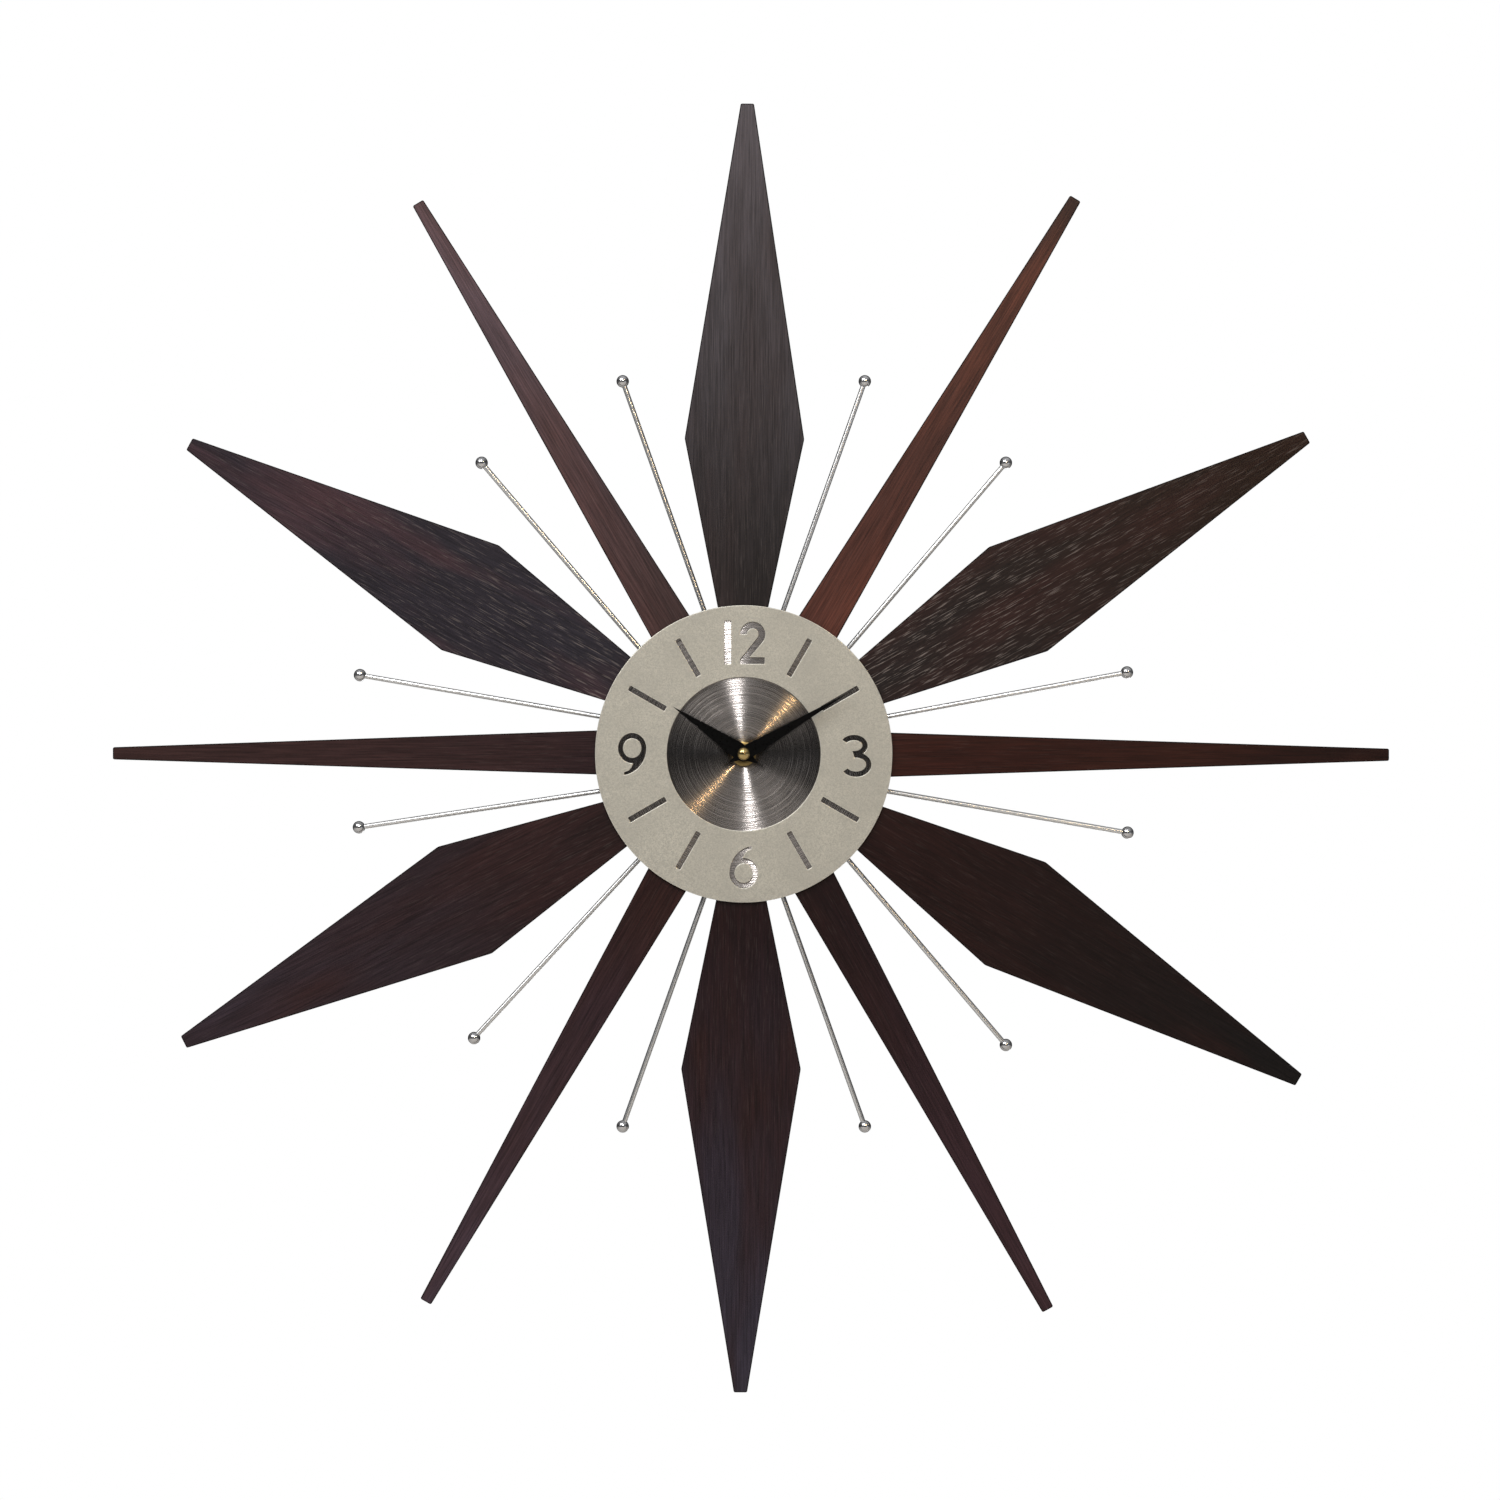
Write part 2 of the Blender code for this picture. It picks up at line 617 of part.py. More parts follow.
def make_dial():
    hub = turned("hub_plate", [(BOSS_R, BLADE_FRONT), (BOSS_R, HUB_FRONT), (HUB_R, HUB_FRONT),
                               (HUB_R, HUB_BACK), (SHAFT_HOLE, HUB_BACK), (SHAFT_HOLE, BLADE_FRONT)],
                 48, "raw_fibreboard", hollow=True, z0=HUB_BACK)
    for number, place in enumerate(rod_places(), 1):
        cut(hub, make_rod(f"rod_hole_{number:02d}", place, HUB_R - ROD_HOLE_DEPTH, HUB_R + 5,
                          ROD_R + TOUCH, 10))
    plate("spun_disc", [circle(DISC_R, 64), circle(SHAFT_HOLE, 24)], DISC_BACK, DISC_FRONT, "spun_steel")

    bars = []
    for hour in (1, 2, 4, 5, 7, 8, 10, 11):
        turn = Matrix.Rotation(-radians(hour * 30), 2)
        flat = rectangle(-BAR_W / 2, BAR_W / 2, BAR_START_R, BAR_END_R, BAR_ROUND)
        bars.append([tuple(turn @ Vector(point)) for point in flat])
    placed = figures()
    pierced = [loop for loops in placed.values() for loop in loops]
    ring = plate("dial_ring", [circle(RING_OUTER_R, 72), circle(RING_INNER_R, 60)] + bars + pierced,
                 RING_BACK, RING_FRONT, "champagne_enamel")
    reach = BRIDGE_HALF_LONG * FIGURE_SCALE
    low = RING_BACK + TOUCH / 2
    for name, angle in (("bridge_6", 180), ("bridge_9", 270)):
        counter = placed[angle][1]
        x = sum(point[0] for point in counter) / len(counter)
        y = sum(point[1] for point in counter) / len(counter)
        join(ring, box(name, (x - reach, y - BRIDGE_W / 2, low),
                       (x + reach, y + BRIDGE_W / 2, low + BRIDGE_THICK)))


def make_hand(name, long, wide, angle, back, shaft_r):
    """Kite-shaped hand with a collet behind it, pressed on its pipe."""
    kite = [(0.0, -HAND_TAIL), (wide / 2, HAND_WAIST), (0.0, long), (-wide / 2, HAND_WAIST)]
    hand = plate(name, [kite], back, back + HAND_THICK, "black_lacquer", turn=angle)
    join(hand, cylinder(name + "_collet", shaft_r + COLLET_WALL, back - COLLET_LONG,
                        back + HAND_THICK / 2, 20))
    cut(hand, cylinder(name + "_hole", shaft_r + RUN, back - COLLET_LONG - 1, back + HAND_THICK + 1, 24))


def make_hands():
    make_hand("hour_hand", HOUR_HAND_LONG, HOUR_HAND_W, HOUR_HAND_ANGLE, HOUR_HAND_BACK, HOUR_TUBE_R)
    make_hand("minute_hand", MINUTE_HAND_LONG, MINUTE_HAND_W, MINUTE_HAND_ANGLE, MINUTE_HAND_BACK,
              CANNON_R)
    top = CAP_NUT_BACK + CAP_NUT_HIGH
    straight = CAP_NUT_BACK + 0.45 * CAP_NUT_HIGH
    dome = ellipse_arc((0.0, straight), (CAP_NUT_R, top - straight), 90, 0, 6)
    bore = CANNON_R + RUN
    floor_z = CAP_NUT_BACK + CAP_NUT_DEPTH
    turned("cap_nut", dome + [(CAP_NUT_R, CAP_NUT_BACK), (bore, CAP_NUT_BACK), (bore, floor_z),
                              (0.0, floor_z)], 20, "polished_brass", z0=CAP_NUT_BACK)
    back = DISC_FRONT + TOUCH
    bevel = 0.5
    turned("dial_nut", [(BUSHING_R + RUN, DIAL_NUT_FRONT), (DIAL_NUT_R - bevel, DIAL_NUT_FRONT),
                        (DIAL_NUT_R, DIAL_NUT_FRONT - bevel), (DIAL_NUT_R, back),
                        (BUSHING_R + RUN, back)], 28, "polished_brass", hollow=True, z0=back)


# ---- movement: case ----

def case_outline(inset):
    half = CASE_HALF - inset
    return rectangle(-half, half, -half, half, CASE_ROUND - inset)


def make_front_case():
    case = plate("front_case", [case_outline(0.0)], SPLIT_Z + TOUCH / 2, CASE_DEPTH, "black_styrene")
    cut(case, plate("front_cavity", [case_outline(CASE_WALL)], SPLIT_Z - 1, INNER_FRONT))
    join(case, cylinder("bushing", BUSHING_R, CASE_DEPTH - FRONT_WALL / 2, BUSHING_END, 24))
    cut(case, cylinder("bushing_bore", BUSHING_BORE, INNER_FRONT - 1, BUSHING_END + 1, 24))
    join(case, cylinder("motion_post", MOTION_POST_R, MOTION_Z - 2 * FOOT, CASE_DEPTH - FRONT_WALL / 2, 10,
                        at=wheel_place("motion")))


def make_back_case():
    case = plate("back_case", [case_outline(0.0)], 0.0, SPLIT_Z - TOUCH / 2, "black_styrene")
    cut(case, plate("back_cavity", [case_outline(CASE_WALL)], BACK_WALL, SPLIT_Z + 1))
    cut(case, plate("bay_mouth", [rectangle(-INNER_HALF, INNER_HALF, -INNER_HALF, PARTITION_Y)],
                    -1.0, BACK_WALL + 1))
    reach = INNER_HALF - PARTITION_GAP
    join(case, box("partition", (-reach, PARTITION_Y, BACK_WALL / 2),
                   (reach, PARTITION_Y + PARTITION, INNER_FRONT - TOUCH)))

    foot, crown = CASE_HALF - CASE_WALL / 2, CASE_HALF + EYE_HIGH
    eye = rounded([(-EYE_HALF_W, foot, 0.0), (EYE_HALF_W, foot, 0.0),
                   (EYE_HALF_W, crown, EYE_ROUND), (-EYE_HALF_W, crown, EYE_ROUND)])
    join(case, plate("eye_tab", [eye], 0.0, EYE_THICK))
    slot_top = crown - EYE_BAND
    slot = rectangle(-EYE_SLOT_HALF_W, EYE_SLOT_HALF_W, slot_top - EYE_SLOT_HIGH, slot_top, EYE_SLOT_ROUND)
    cut(case, plate("eye_slot", [slot], -1.0, EYE_THICK + 1))
    cut(case, cylinder("nail_notch", NAIL_NOTCH_R, -1.0, EYE_THICK + 1, 12, at=(0.0, slot_top)))

    knob = wheel_place("knob")
    join(case, cylinder("pocket_wall", KNOB_R + POCKET_GAP + POCKET_WALL, BACK_WALL / 2,
                        POCKET_DEPTH + POCKET_WALL, 28, at=knob))
    cut(case, cylinder("pocket", KNOB_R + POCKET_GAP, -1.0, POCKET_DEPTH, 28, at=knob))
    cut(case, cylinder("knob_hole", KNOB_SHAFT_R + 1.5 * RUN, POCKET_DEPTH - 1, POCKET_DEPTH + 3, 16,
                       at=knob))

    low = BACK_WALL / 2
    join(case, cylinder("shaft_boss", SHAFT_BOSS_R, low, BACK_WALL + SHAFT_BOSS_HIGH, 16))
    cut(case, cylinder("shaft_pivot", SECONDS_ARBOR_R + 1.5 * RUN, BACK_WALL + PIVOT_FLOOR,
                       BACK_WALL + SHAFT_BOSS_HIGH + 1, 12))
    for wheel, radius, boss_top, top in post_heights():
        at = wheel_place(wheel)
        join(case, cylinder(wheel + "_boss", POST_BOSS_R, low, boss_top, 12, at=at))
        join(case, cylinder(wheel + "_post", radius, low, top, 10, at=at))
    for number, x in enumerate(STATOR_POSTS_X, 1):
        join(case, cylinder(f"stator_post_{number}", STATOR_POST_R, low, stator_z()[0] - TOUCH, 12,
                            at=(x, wheel_place("rotor")[1])))


def post_heights():
    """Wheel, post radius, top of the boss the wheel stands on, and top of the post."""
    return (("rotor", ROTOR_POST_R, STEP_Z - HALF_PINION - 2 * TOUCH, rotor_top() + TOUCH),
            ("step", STEP_POST_R, STEP_Z - FOOT - TOUCH, SECONDS_Z + HALF_PINION + TOUCH),
            ("third", THIRD_POST_R, THIRD_Z - FOOT - TOUCH, CENTRE_Z + HALF_PINION + TOUCH))


# ---- movement: wheels ----

def make_wheel(name, place_name, core, gears, bore, finish):
    """Gears, as (teeth, module, phase, middle height, thickness), on one stepped core."""
    at = wheel_place(place_name)
    wheel = turned(name, core, 14, finish, at, z0=core[-1][1])
    for number, (teeth, module, phase, middle, thick) in enumerate(gears, 1):
        join(wheel, plate(f"{name}_teeth_{number}", [gear_loop(teeth, module, phase)],
                          middle - thick / 2, middle + thick / 2, at=at))
    if bore:
        cut(wheel, cylinder(name + "_bore", bore, core[-1][1] - 1, core[0][1] + 1, 14, at=at))
    return wheel


def core_profile(*steps):
    """Solid stepped core, from (radius, top height) downwards and the last bottom height."""
    profile = [(0.0, steps[0][1])]
    for (radius, top), below in zip(steps, steps[1:]):
        profile += [(radius, top), (radius, below[1])]
    return profile + [(0.0, steps[-1][1])]


def make_train():
    """The going train, from the motor's rotor to the wheel that carries the minute pipe."""
    pinion = 2 * HALF_PINION
    seconds_phase = 0.0
    step_pinion = meshed_phase(STEP_ANGLE + 180, TRAIN_PINION, SECONDS_TEETH, seconds_phase)
    step_phase = step_pinion
    rotor_phase = meshed_phase(ROTOR_ANGLE + 180, TRAIN_PINION, STEP_TEETH, step_phase)
    third_phase = meshed_phase(THIRD_ANGLE + 180, THIRD_TEETH, TRAIN_PINION, seconds_phase)
    centre_phase = meshed_phase(THIRD_ANGLE, CENTRE_TEETH, TRAIN_PINION, third_phase)

    make_wheel("rotor", "rotor",
               core_profile((MAGNET_R, rotor_top()), (ROTOR_CORE_R, rotor_top() - MAGNET_LONG),
                            (ROTOR_CORE_R, STEP_Z - HALF_PINION - TOUCH)),
               [(TRAIN_PINION, STEP_MODULE, rotor_phase, STEP_Z, 2 * HALF_PINION)],
               ROTOR_POST_R + RUN, "ferrite")
    make_wheel("intermediate_wheel", "step",
               core_profile((STEP_CORE_R, SECONDS_Z + HALF_PINION + CORE_EXTRA),
                            (STEP_CORE_R, STEP_Z - FOOT)),
               [(STEP_TEETH, STEP_MODULE, step_phase, STEP_Z, WHEEL_THICK),
                (TRAIN_PINION, SECONDS_MODULE, step_pinion, SECONDS_Z, pinion)],
               STEP_POST_R + RUN, "white_acetal")
    make_wheel("seconds_wheel", "shaft",
               core_profile((SECONDS_ARBOR_R, MOTION_Z + FOOT),
                            (STEP_CORE_R, THIRD_Z + HALF_PINION + CORE_EXTRA),
                            (SECONDS_ARBOR_R, SECONDS_Z - FOOT),
                            (SECONDS_ARBOR_R, BACK_WALL + PIVOT_FLOOR + TOUCH)),
               [(SECONDS_TEETH, SECONDS_MODULE, seconds_phase, SECONDS_Z, WHEEL_THICK),
                (TRAIN_PINION, THIRD_MODULE, seconds_phase, THIRD_Z, pinion)],
               None, "yellow_acetal")
    make_wheel("third_wheel", "third",
               core_profile((THIRD_CORE_R, CENTRE_Z + HALF_PINION + CORE_EXTRA),
                            (THIRD_CORE_R, THIRD_Z - FOOT)),
               [(THIRD_TEETH, THIRD_MODULE, third_phase, THIRD_Z, WHEEL_THICK),
                (TRAIN_PINION, CENTRE_MODULE, third_phase, CENTRE_Z, pinion)],
               THIRD_POST_R + RUN, "white_acetal")
    plate("centre_wheel", [gear_loop(CENTRE_TEETH, CENTRE_MODULE, centre_phase),
                           circle(CANNON_R + RUN, 18)],
          CENTRE_Z - WHEEL_THICK / 2, CENTRE_Z + WHEEL_THICK / 2, "yellow_acetal")


def make_motion_work():
    """Minute pipe, motion wheel and hour wheel, and the knob that sets the hands."""
    thick = 2 * HALF_MOTION_PINION
    cannon_phase = 0.0
    motion_phase = meshed_phase(MOTION_ANGLE + 180, MOTION_TEETH, CANNON_TEETH, cannon_phase)
    hour_phase = meshed_phase(MOTION_ANGLE, HOUR_TEETH, MOTION_PINION, motion_phase)
    knob_phase = meshed_phase(KNOB_ANGLE + 180, CANNON_TEETH, MOTION_TEETH, motion_phase)
    collar_r = CANNON_R + COLLAR_WALL
    clutch = WHEEL_THICK / 2 + TOUCH / 2
    post_core_r = MOTION_POST_R + RUN + MOTION_CORE_WALL

    make_wheel("cannon_wheel", "shaft",
               core_profile((CANNON_R, CANNON_END), (collar_r, MOTION_Z - HALF_MOTION_PINION + TOUCH / 2),
                            (CANNON_R, CENTRE_Z + clutch),
                            (collar_r, CENTRE_Z - clutch), (collar_r, CENTRE_Z - clutch - FOOT)),
               [(CANNON_TEETH, MOTION_MODULE, cannon_phase, MOTION_Z, thick)],
               CANNON_BORE, "polished_brass")
    make_wheel("motion_wheel", "motion",
               core_profile((post_core_r, INNER_FRONT - TOUCH), (post_core_r, MOTION_Z - FOOT)),
               [(MOTION_TEETH, MOTION_MODULE, motion_phase, MOTION_Z, MOTION_THICK),
                (MOTION_PINION, HOUR_MODULE, motion_phase, HOUR_Z, thick)],
               MOTION_POST_R + RUN, "white_acetal")
    make_wheel("hour_wheel", "shaft",
               core_profile((HOUR_TUBE_R, HOUR_TUBE_END), (HOUR_TUBE_R, HOUR_Z - FOOT)),
               [(HOUR_TEETH, HOUR_MODULE, hour_phase, HOUR_Z, MOTION_THICK)],
               HOUR_BORE, "white_acetal")

    knob_at = wheel_place("knob")
    knob = make_wheel("setting_knob", "knob",
                      core_profile((KNOB_SHAFT_R, INNER_FRONT - TOUCH), (KNOB_SHAFT_R, TOUCH)),
                      [(CANNON_TEETH, MOTION_MODULE, knob_phase, MOTION_Z, thick)], None, "black_styrene")
    grip = [polar(KNOB_R - (k % 2) * FLUTE_DEPTH, k * 180 / KNOB_FLUTES) for k in range(2 * KNOB_FLUTES)]
    join(knob, plate("knob_grip", [grip], 1.5 * TOUCH, 1.5 * TOUCH + KNOB_THICK, at=knob_at))


# ---- movement: motor, circuit and battery ----

def stator_z():
    low = SECONDS_Z - STATOR_THICK / 10
    return low, low + STATOR_THICK


def rotor_top():
    low, high = stator_z()
    return (low + high + MAGNET_LONG) / 2


def make_motor():
    rotor = wheel_place("rotor")
    low, high = stator_z()
    coil_y = INNER_HALF - TOUCH - FLANGE_R
    arm = STATOR_ARM_W + TOUCH
    left = wheel_place("knob")[0] + KNOB_SHAFT_R + KNOB_TO_STATOR + arm
    right = left + COIL_LONG + 2 * FLANGE_THICK
    base_low, base_high = rotor[1] - STATOR_HALF_H, rotor[1] + STATOR_HALF_H
    arm_top = coil_y + CORE_W / 2
    yoke = [(left - arm, base_low), (right + arm, base_low), (right + arm, arm_top),
            (right + TOUCH, arm_top), (right + TOUCH, base_high), (left - TOUCH, base_high),
            (left - TOUCH, arm_top), (left - arm, arm_top)]
    plate("stator", [yoke, circle(STATOR_BORE_R, 18, rotor)], low, high, "silicon_steel")

    coil_z = high + TOUCH + CORE_THICK / 2
    ends = COIL_LONG / 2 + FLANGE_THICK
    bobbin = [(0.0, ends), (FLANGE_R, ends), (FLANGE_R, COIL_LONG / 2), (COIL_R, COIL_LONG / 2),
              (COIL_R, -COIL_LONG / 2), (FLANGE_R, -COIL_LONG / 2), (FLANGE_R, -ends), (0.0, -ends)]
    coil = turned("coil", bobbin, 20, "copper_winding")
    coil.location = Vector(((left + right) / 2, coil_y, coil_z)) * MM
    coil.rotation_euler = (0.0, pi / 2, 0.0)
    join(coil, box("coil_core", (left - CORE_OVERHANG, coil_y - CORE_W / 2, coil_z - CORE_THICK / 2),
                   (right + CORE_OVERHANG, coil_y + CORE_W / 2, coil_z + CORE_THICK / 2)))


def make_circuit():
    low = BACK_WALL + TOUCH
    top = INNER_HALF - BOARD_EDGE_GAP
    reach = contact_x() - CONTACT_THICK - TOUCH
    board = box("circuit_board", (-reach, top - BOARD_HIGH, low), (reach, top, low + BOARD_THICK),
                "circuit_laminate")
    middle = top - BOARD_HIGH / 2
    join(board, cylinder("chip", CHIP_R, low + BOARD_THICK / 2, low + BOARD_THICK + CHIP_HIGH, 16,
                         at=(reach / 2, middle)))
    can = cylinder("crystal", CRYSTAL_R, -CRYSTAL_LONG / 2, CRYSTAL_LONG / 2, 10)
    can.location = Vector((0.75 * reach, middle, low + BOARD_THICK + CRYSTAL_R - 0.15)) * MM
    can.rotation_euler = (0.0, pi / 2, 0.0)
    join(board, can)


def contact_x():
    """Outer face of each contact strip, just inside the case's side wall."""
    return INNER_HALF - TOUCH


def make_battery():
    half = (BATTERY_LONG + BATTERY_NUB_LONG) / 2
    neck = half - BATTERY_NUB_LONG
    cell = turned("battery", [(0.0, half), (BATTERY_NUB_R, half), (BATTERY_NUB_R, neck), (BATTERY_R, neck),
                              (BATTERY_R, -half), (0.0, -half)], 24, "battery_jacket")
    cell.location = Vector((0.0, BATTERY_Y, BATTERY_Z)) * MM
    cell.rotation_euler = (0.0, pi / 2, 0.0)
    make_contact("contact_plus", 1, half)
    make_contact("contact_minus", -1, half)


def make_contact(name, side, battery_end):
    """Nickel strip down the case's side wall, with a dimple that meets the battery."""
    outer = side * contact_x()
    inner = side * (contact_x() - CONTACT_THICK)
    low_x, high_x = min(outer, inner), max(outer, inner)
    board_top = BACK_WALL + TOUCH + BOARD_THICK
    strip = box(name, (low_x, BATTERY_Y - CONTACT_BELOW, board_top + CONTACT_THICK / 2),
                (high_x, PARTITION_Y - TOUCH, BATTERY_Z + CONTACT_IN_FRONT), "nickel_strip")
    join(strip, box(name + "_tail", (low_x, PARTITION_Y - 2 * TOUCH, board_top - CONTACT_THICK),
                    (high_x, INNER_HALF - CONTACT_END_GAP, board_top + TAIL_RISE)))
    dimple = cylinder(name + "_dimple", DIMPLE_R, 0.0,
                      contact_x() - CONTACT_THICK / 2 - battery_end - TOUCH, 14)
    dimple.location = Vector((side * (contact_x() - CONTACT_THICK / 2 + battery_end + TOUCH) / 2,
                              BATTERY_Y, BATTERY_Z)) * MM
    dimple.rotation_euler = (0.0, pi / 2, 0.0)
    join(strip, dimple)


for old in list(bpy.data.objects):
    bpy.data.objects.remove(old)
PARTS = bpy.data.collections.new("sunburst_wall_clock")
TOOLS = bpy.data.collections.new("cutters")
for collection in (PARTS, TOOLS):
    bpy.context.scene.collection.children.link(collection)
DIAL_FRAME = bpy.data.objects.new("dial_frame", None)
DIAL_FRAME.rotation_euler.x = pi / 2
PARTS.objects.link(DIAL_FRAME)
MATERIALS = {name: make_finish(name) for name in FINISHES}

make_blades()
make_rods_and_balls()
make_dial()
make_hands()
make_front_case()
make_back_case()
make_train()
make_motion_work()
make_motor()
make_circuit()
make_battery()
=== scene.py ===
# %% [markdown]
# # A sunburst wall clock, dressed for the studio
# The clock has twelve dark veneered blades and twelve ball-ended steel rods round a pierced dial,
# with a battery movement behind it. Its CAD model is already packed as a fixed frame of named
# solids. This lesson builds the finer pieces that the eye sees over that frame, gives every
# surface a finish worked out in nodes, and lights it softly. Heights are read from the frame, and
# places on the dial repeat its sizes, so nothing has to be fitted by eye.

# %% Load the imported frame
import math

import bmesh
import bpy
from mathutils import Matrix, Vector
from mathutils.geometry import tessellate_polygon


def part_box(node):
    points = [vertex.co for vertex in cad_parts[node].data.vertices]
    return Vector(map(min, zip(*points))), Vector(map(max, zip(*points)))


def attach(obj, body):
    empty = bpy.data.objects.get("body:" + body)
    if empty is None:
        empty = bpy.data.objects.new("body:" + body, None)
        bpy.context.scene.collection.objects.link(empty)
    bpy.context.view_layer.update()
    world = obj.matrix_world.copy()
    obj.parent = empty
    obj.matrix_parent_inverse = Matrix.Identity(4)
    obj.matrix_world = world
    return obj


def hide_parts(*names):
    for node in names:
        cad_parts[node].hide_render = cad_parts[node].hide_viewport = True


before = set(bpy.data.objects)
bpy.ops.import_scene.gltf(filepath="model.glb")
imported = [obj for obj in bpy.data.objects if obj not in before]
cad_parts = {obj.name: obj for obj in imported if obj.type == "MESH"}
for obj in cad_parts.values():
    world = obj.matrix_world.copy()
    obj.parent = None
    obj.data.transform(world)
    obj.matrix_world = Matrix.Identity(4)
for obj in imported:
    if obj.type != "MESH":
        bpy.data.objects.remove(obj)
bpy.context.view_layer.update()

# %% [markdown]
# ## The dial's own frame
# A clock is easiest to draw as its maker draws it: lying on the bench, 12 o'clock away from the
# maker, heights counted up from the back. One matrix then stands the drawing upright. Sizes are
# written in millimetres and clock angles run clockwise from 12, as on the real dial.

# %% Units and places
MM = 0.001
STAND_UP = Matrix.Rotation(math.pi / 2, 4, "X")


def polar(radius, angle):
    """Point at a radius and a clock angle."""
    return radius * math.sin(math.radians(angle)), radius * math.cos(math.radians(angle))


def circle(radius, sides):
    return [polar(radius, 360 * k / sides) for k in range(sides)]


def arc(centre, radii, start, end, steps):
    """Points on an ellipse, between two angles counted from 3 o'clock anticlockwise."""
    angles = [math.radians(start + (end - start) * k / steps) for k in range(steps + 1)]
    return [(centre[0] + radii[0] * math.cos(a), centre[1] + radii[1] * math.sin(a)) for a in angles]


def on_dial(x=0.0, y=0.0, z=0.0, turn=0.0):
    """Where a piece drawn on the bench stands in the room."""
    slide = Matrix.Translation(Vector((x, y, z)) * MM)
    return STAND_UP @ slide @ Matrix.Rotation(-math.radians(turn), 4, "Z")


def lying(x, y, z, heading):
    """Like on_dial, for a turned piece that lies flat with its own +Z along a clock angle."""
    return on_dial(x, y, z, heading) @ Matrix.Rotation(-math.pi / 2, 4, "X")


def heights(node):
    """Back and front of a CAD node above the wall, in millimetres."""
    low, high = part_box(node)
    return -high.y / MM, -low.y / MM


print("blades stand", [round(v, 2) for v in heights("blade_12")], "mm off the wall")

# %% [markdown]
# ## Two ways of making a shape
# Nearly everything on this clock is either cut from sheet or turned on a lathe, so two builders
# make nearly everything here. The first fills an outline with holes in it, and walks each
# outline down an edge profile, so that the arris is eased as a real one is by sanding or
# stamping: a dead sharp edge never catches the light. The second spins a profile.

# %% Finishing a mesh: which edges stay crisp
CRISP = math.radians(35)


def finished(shape, name, caps=()):
    """Turns a bmesh into a mesh, smooth over shallow bends and crisp at corners and flat faces."""
    bmesh.ops.recalc_face_normals(shape, faces=shape.faces)
    flat = set(caps)
    for face in shape.faces:
        face.smooth = True
    for edge in shape.edges:
        sides = [face in flat for face in edge.link_faces]
        edge.smooth = edge.calc_face_angle(0.0) < CRISP and len(set(sides)) < 2
    mesh = bpy.data.meshes.new(name)
    shape.to_mesh(mesh)
    shape.free()
    return mesh


# %% Cut from sheet
FRONT, EDGE, BACK = 0, 1, 2


def facing(loop, anticlockwise):
    area = sum(a[0] * b[1] - b[0] * a[1] for a, b in zip(loop, loop[1:] + loop[:1]))
    return list(loop) if (area > 0) == anticlockwise else list(reversed(loop))


def inset(loop, amount):
    """Moves a closed outline into the material, which lies on its left."""
    moved = []
    for k, here in enumerate(loop):
        point = Vector(here)
        a = (point - Vector(loop[k - 1])).normalized()
        b = (Vector(loop[(k + 1) % len(loop)]) - point).normalized()
        mitre = max(0.1, math.sqrt(max(0.0, (1 + a.dot(b)) / 2)))
        side = Vector((-a.y - b.y, a.x + b.x)).normalized()
        moved.append(point + side * amount / mitre)
    return moved


def sheet(name, outline, holes, profile):
    """Flat piece with its edges shaped by (inset, height) steps from front to back."""
    shape = bmesh.new()
    loops = [facing(outline, True)] + [facing(hole, False) for hole in holes]
    levels = []
    for amount, z in profile:
        levels.append([[shape.verts.new((p.x * MM, p.y * MM, z * MM)) for p in inset(loop, amount)]
                       for loop in loops])
    for upper, lower in zip(levels, levels[1:]):
        for a, b in zip(upper, lower):
            for k in range(len(a)):
                wall = shape.faces.new((a[k - 1], b[k - 1], b[k], a[k]))
                wall.material_index = EDGE
    caps = []
    for level, side in ((levels[0], FRONT), (levels[-1], BACK)):
        corners = [vert for loop in level for vert in loop]
        for triangle in tessellate_polygon([[vert.co for vert in loop] for loop in level]):
            cap = shape.faces.new([corners[k] for k in triangle])
            cap.material_index = side
            caps.append(cap)
    return finished(shape, name, caps)


def eased(front, back, radius):
    """Edge profile of a sheet whose two arrises are rounded."""
    steps = [math.radians(30 * k) for k in range(4)]
    top = [(radius * (1 - math.sin(a)), front - radius * (1 - math.cos(a))) for a in steps]
    return top + [(x, front + back - z) for x, z in reversed(top)]


# %% Turned on a lathe
def turned(name, profile, steps, ring=False):
    """Spins (radius, height) points about +Z; a ring's last point joins its first."""
    shape = bmesh.new()
    rings = []
    for radius, z in profile:
        if radius == 0:
            rings.append([shape.verts.new((0.0, 0.0, z * MM))] * steps)
        else:
            rings.append([shape.verts.new((x * MM, y * MM, z * MM)) for x, y in circle(radius, steps)])
    pairs = list(zip(rings, rings[1:])) + ([(rings[-1], rings[0])] if ring else [])
    for a, b in pairs:
        for k in range(steps):
            corners = list(dict.fromkeys((a[k - 1], b[k - 1], b[k], a[k])))
            shape.faces.new(corners)
    return finished(shape, name)


# %% Cutting one mesh with another, for holes that a profile can't give
def drilled(mesh, cutter):
    work = bpy.data.objects.new("work", mesh)
    tool = bpy.data.objects.new("tool", cutter)
    for obj in (work, tool):
        bpy.context.scene.collection.objects.link(obj)
    step = work.modifiers.new("drill", "BOOLEAN")
    step.operation = "DIFFERENCE"
    step.solver = "EXACT"
    step.object = tool
    made = bpy.data.meshes.new_from_object(work.evaluated_get(bpy.context.evaluated_depsgraph_get()))
    for obj in (work, tool):
        bpy.data.objects.remove(obj)
    made.set_sharp_from_angle(angle=CRISP)
    return made


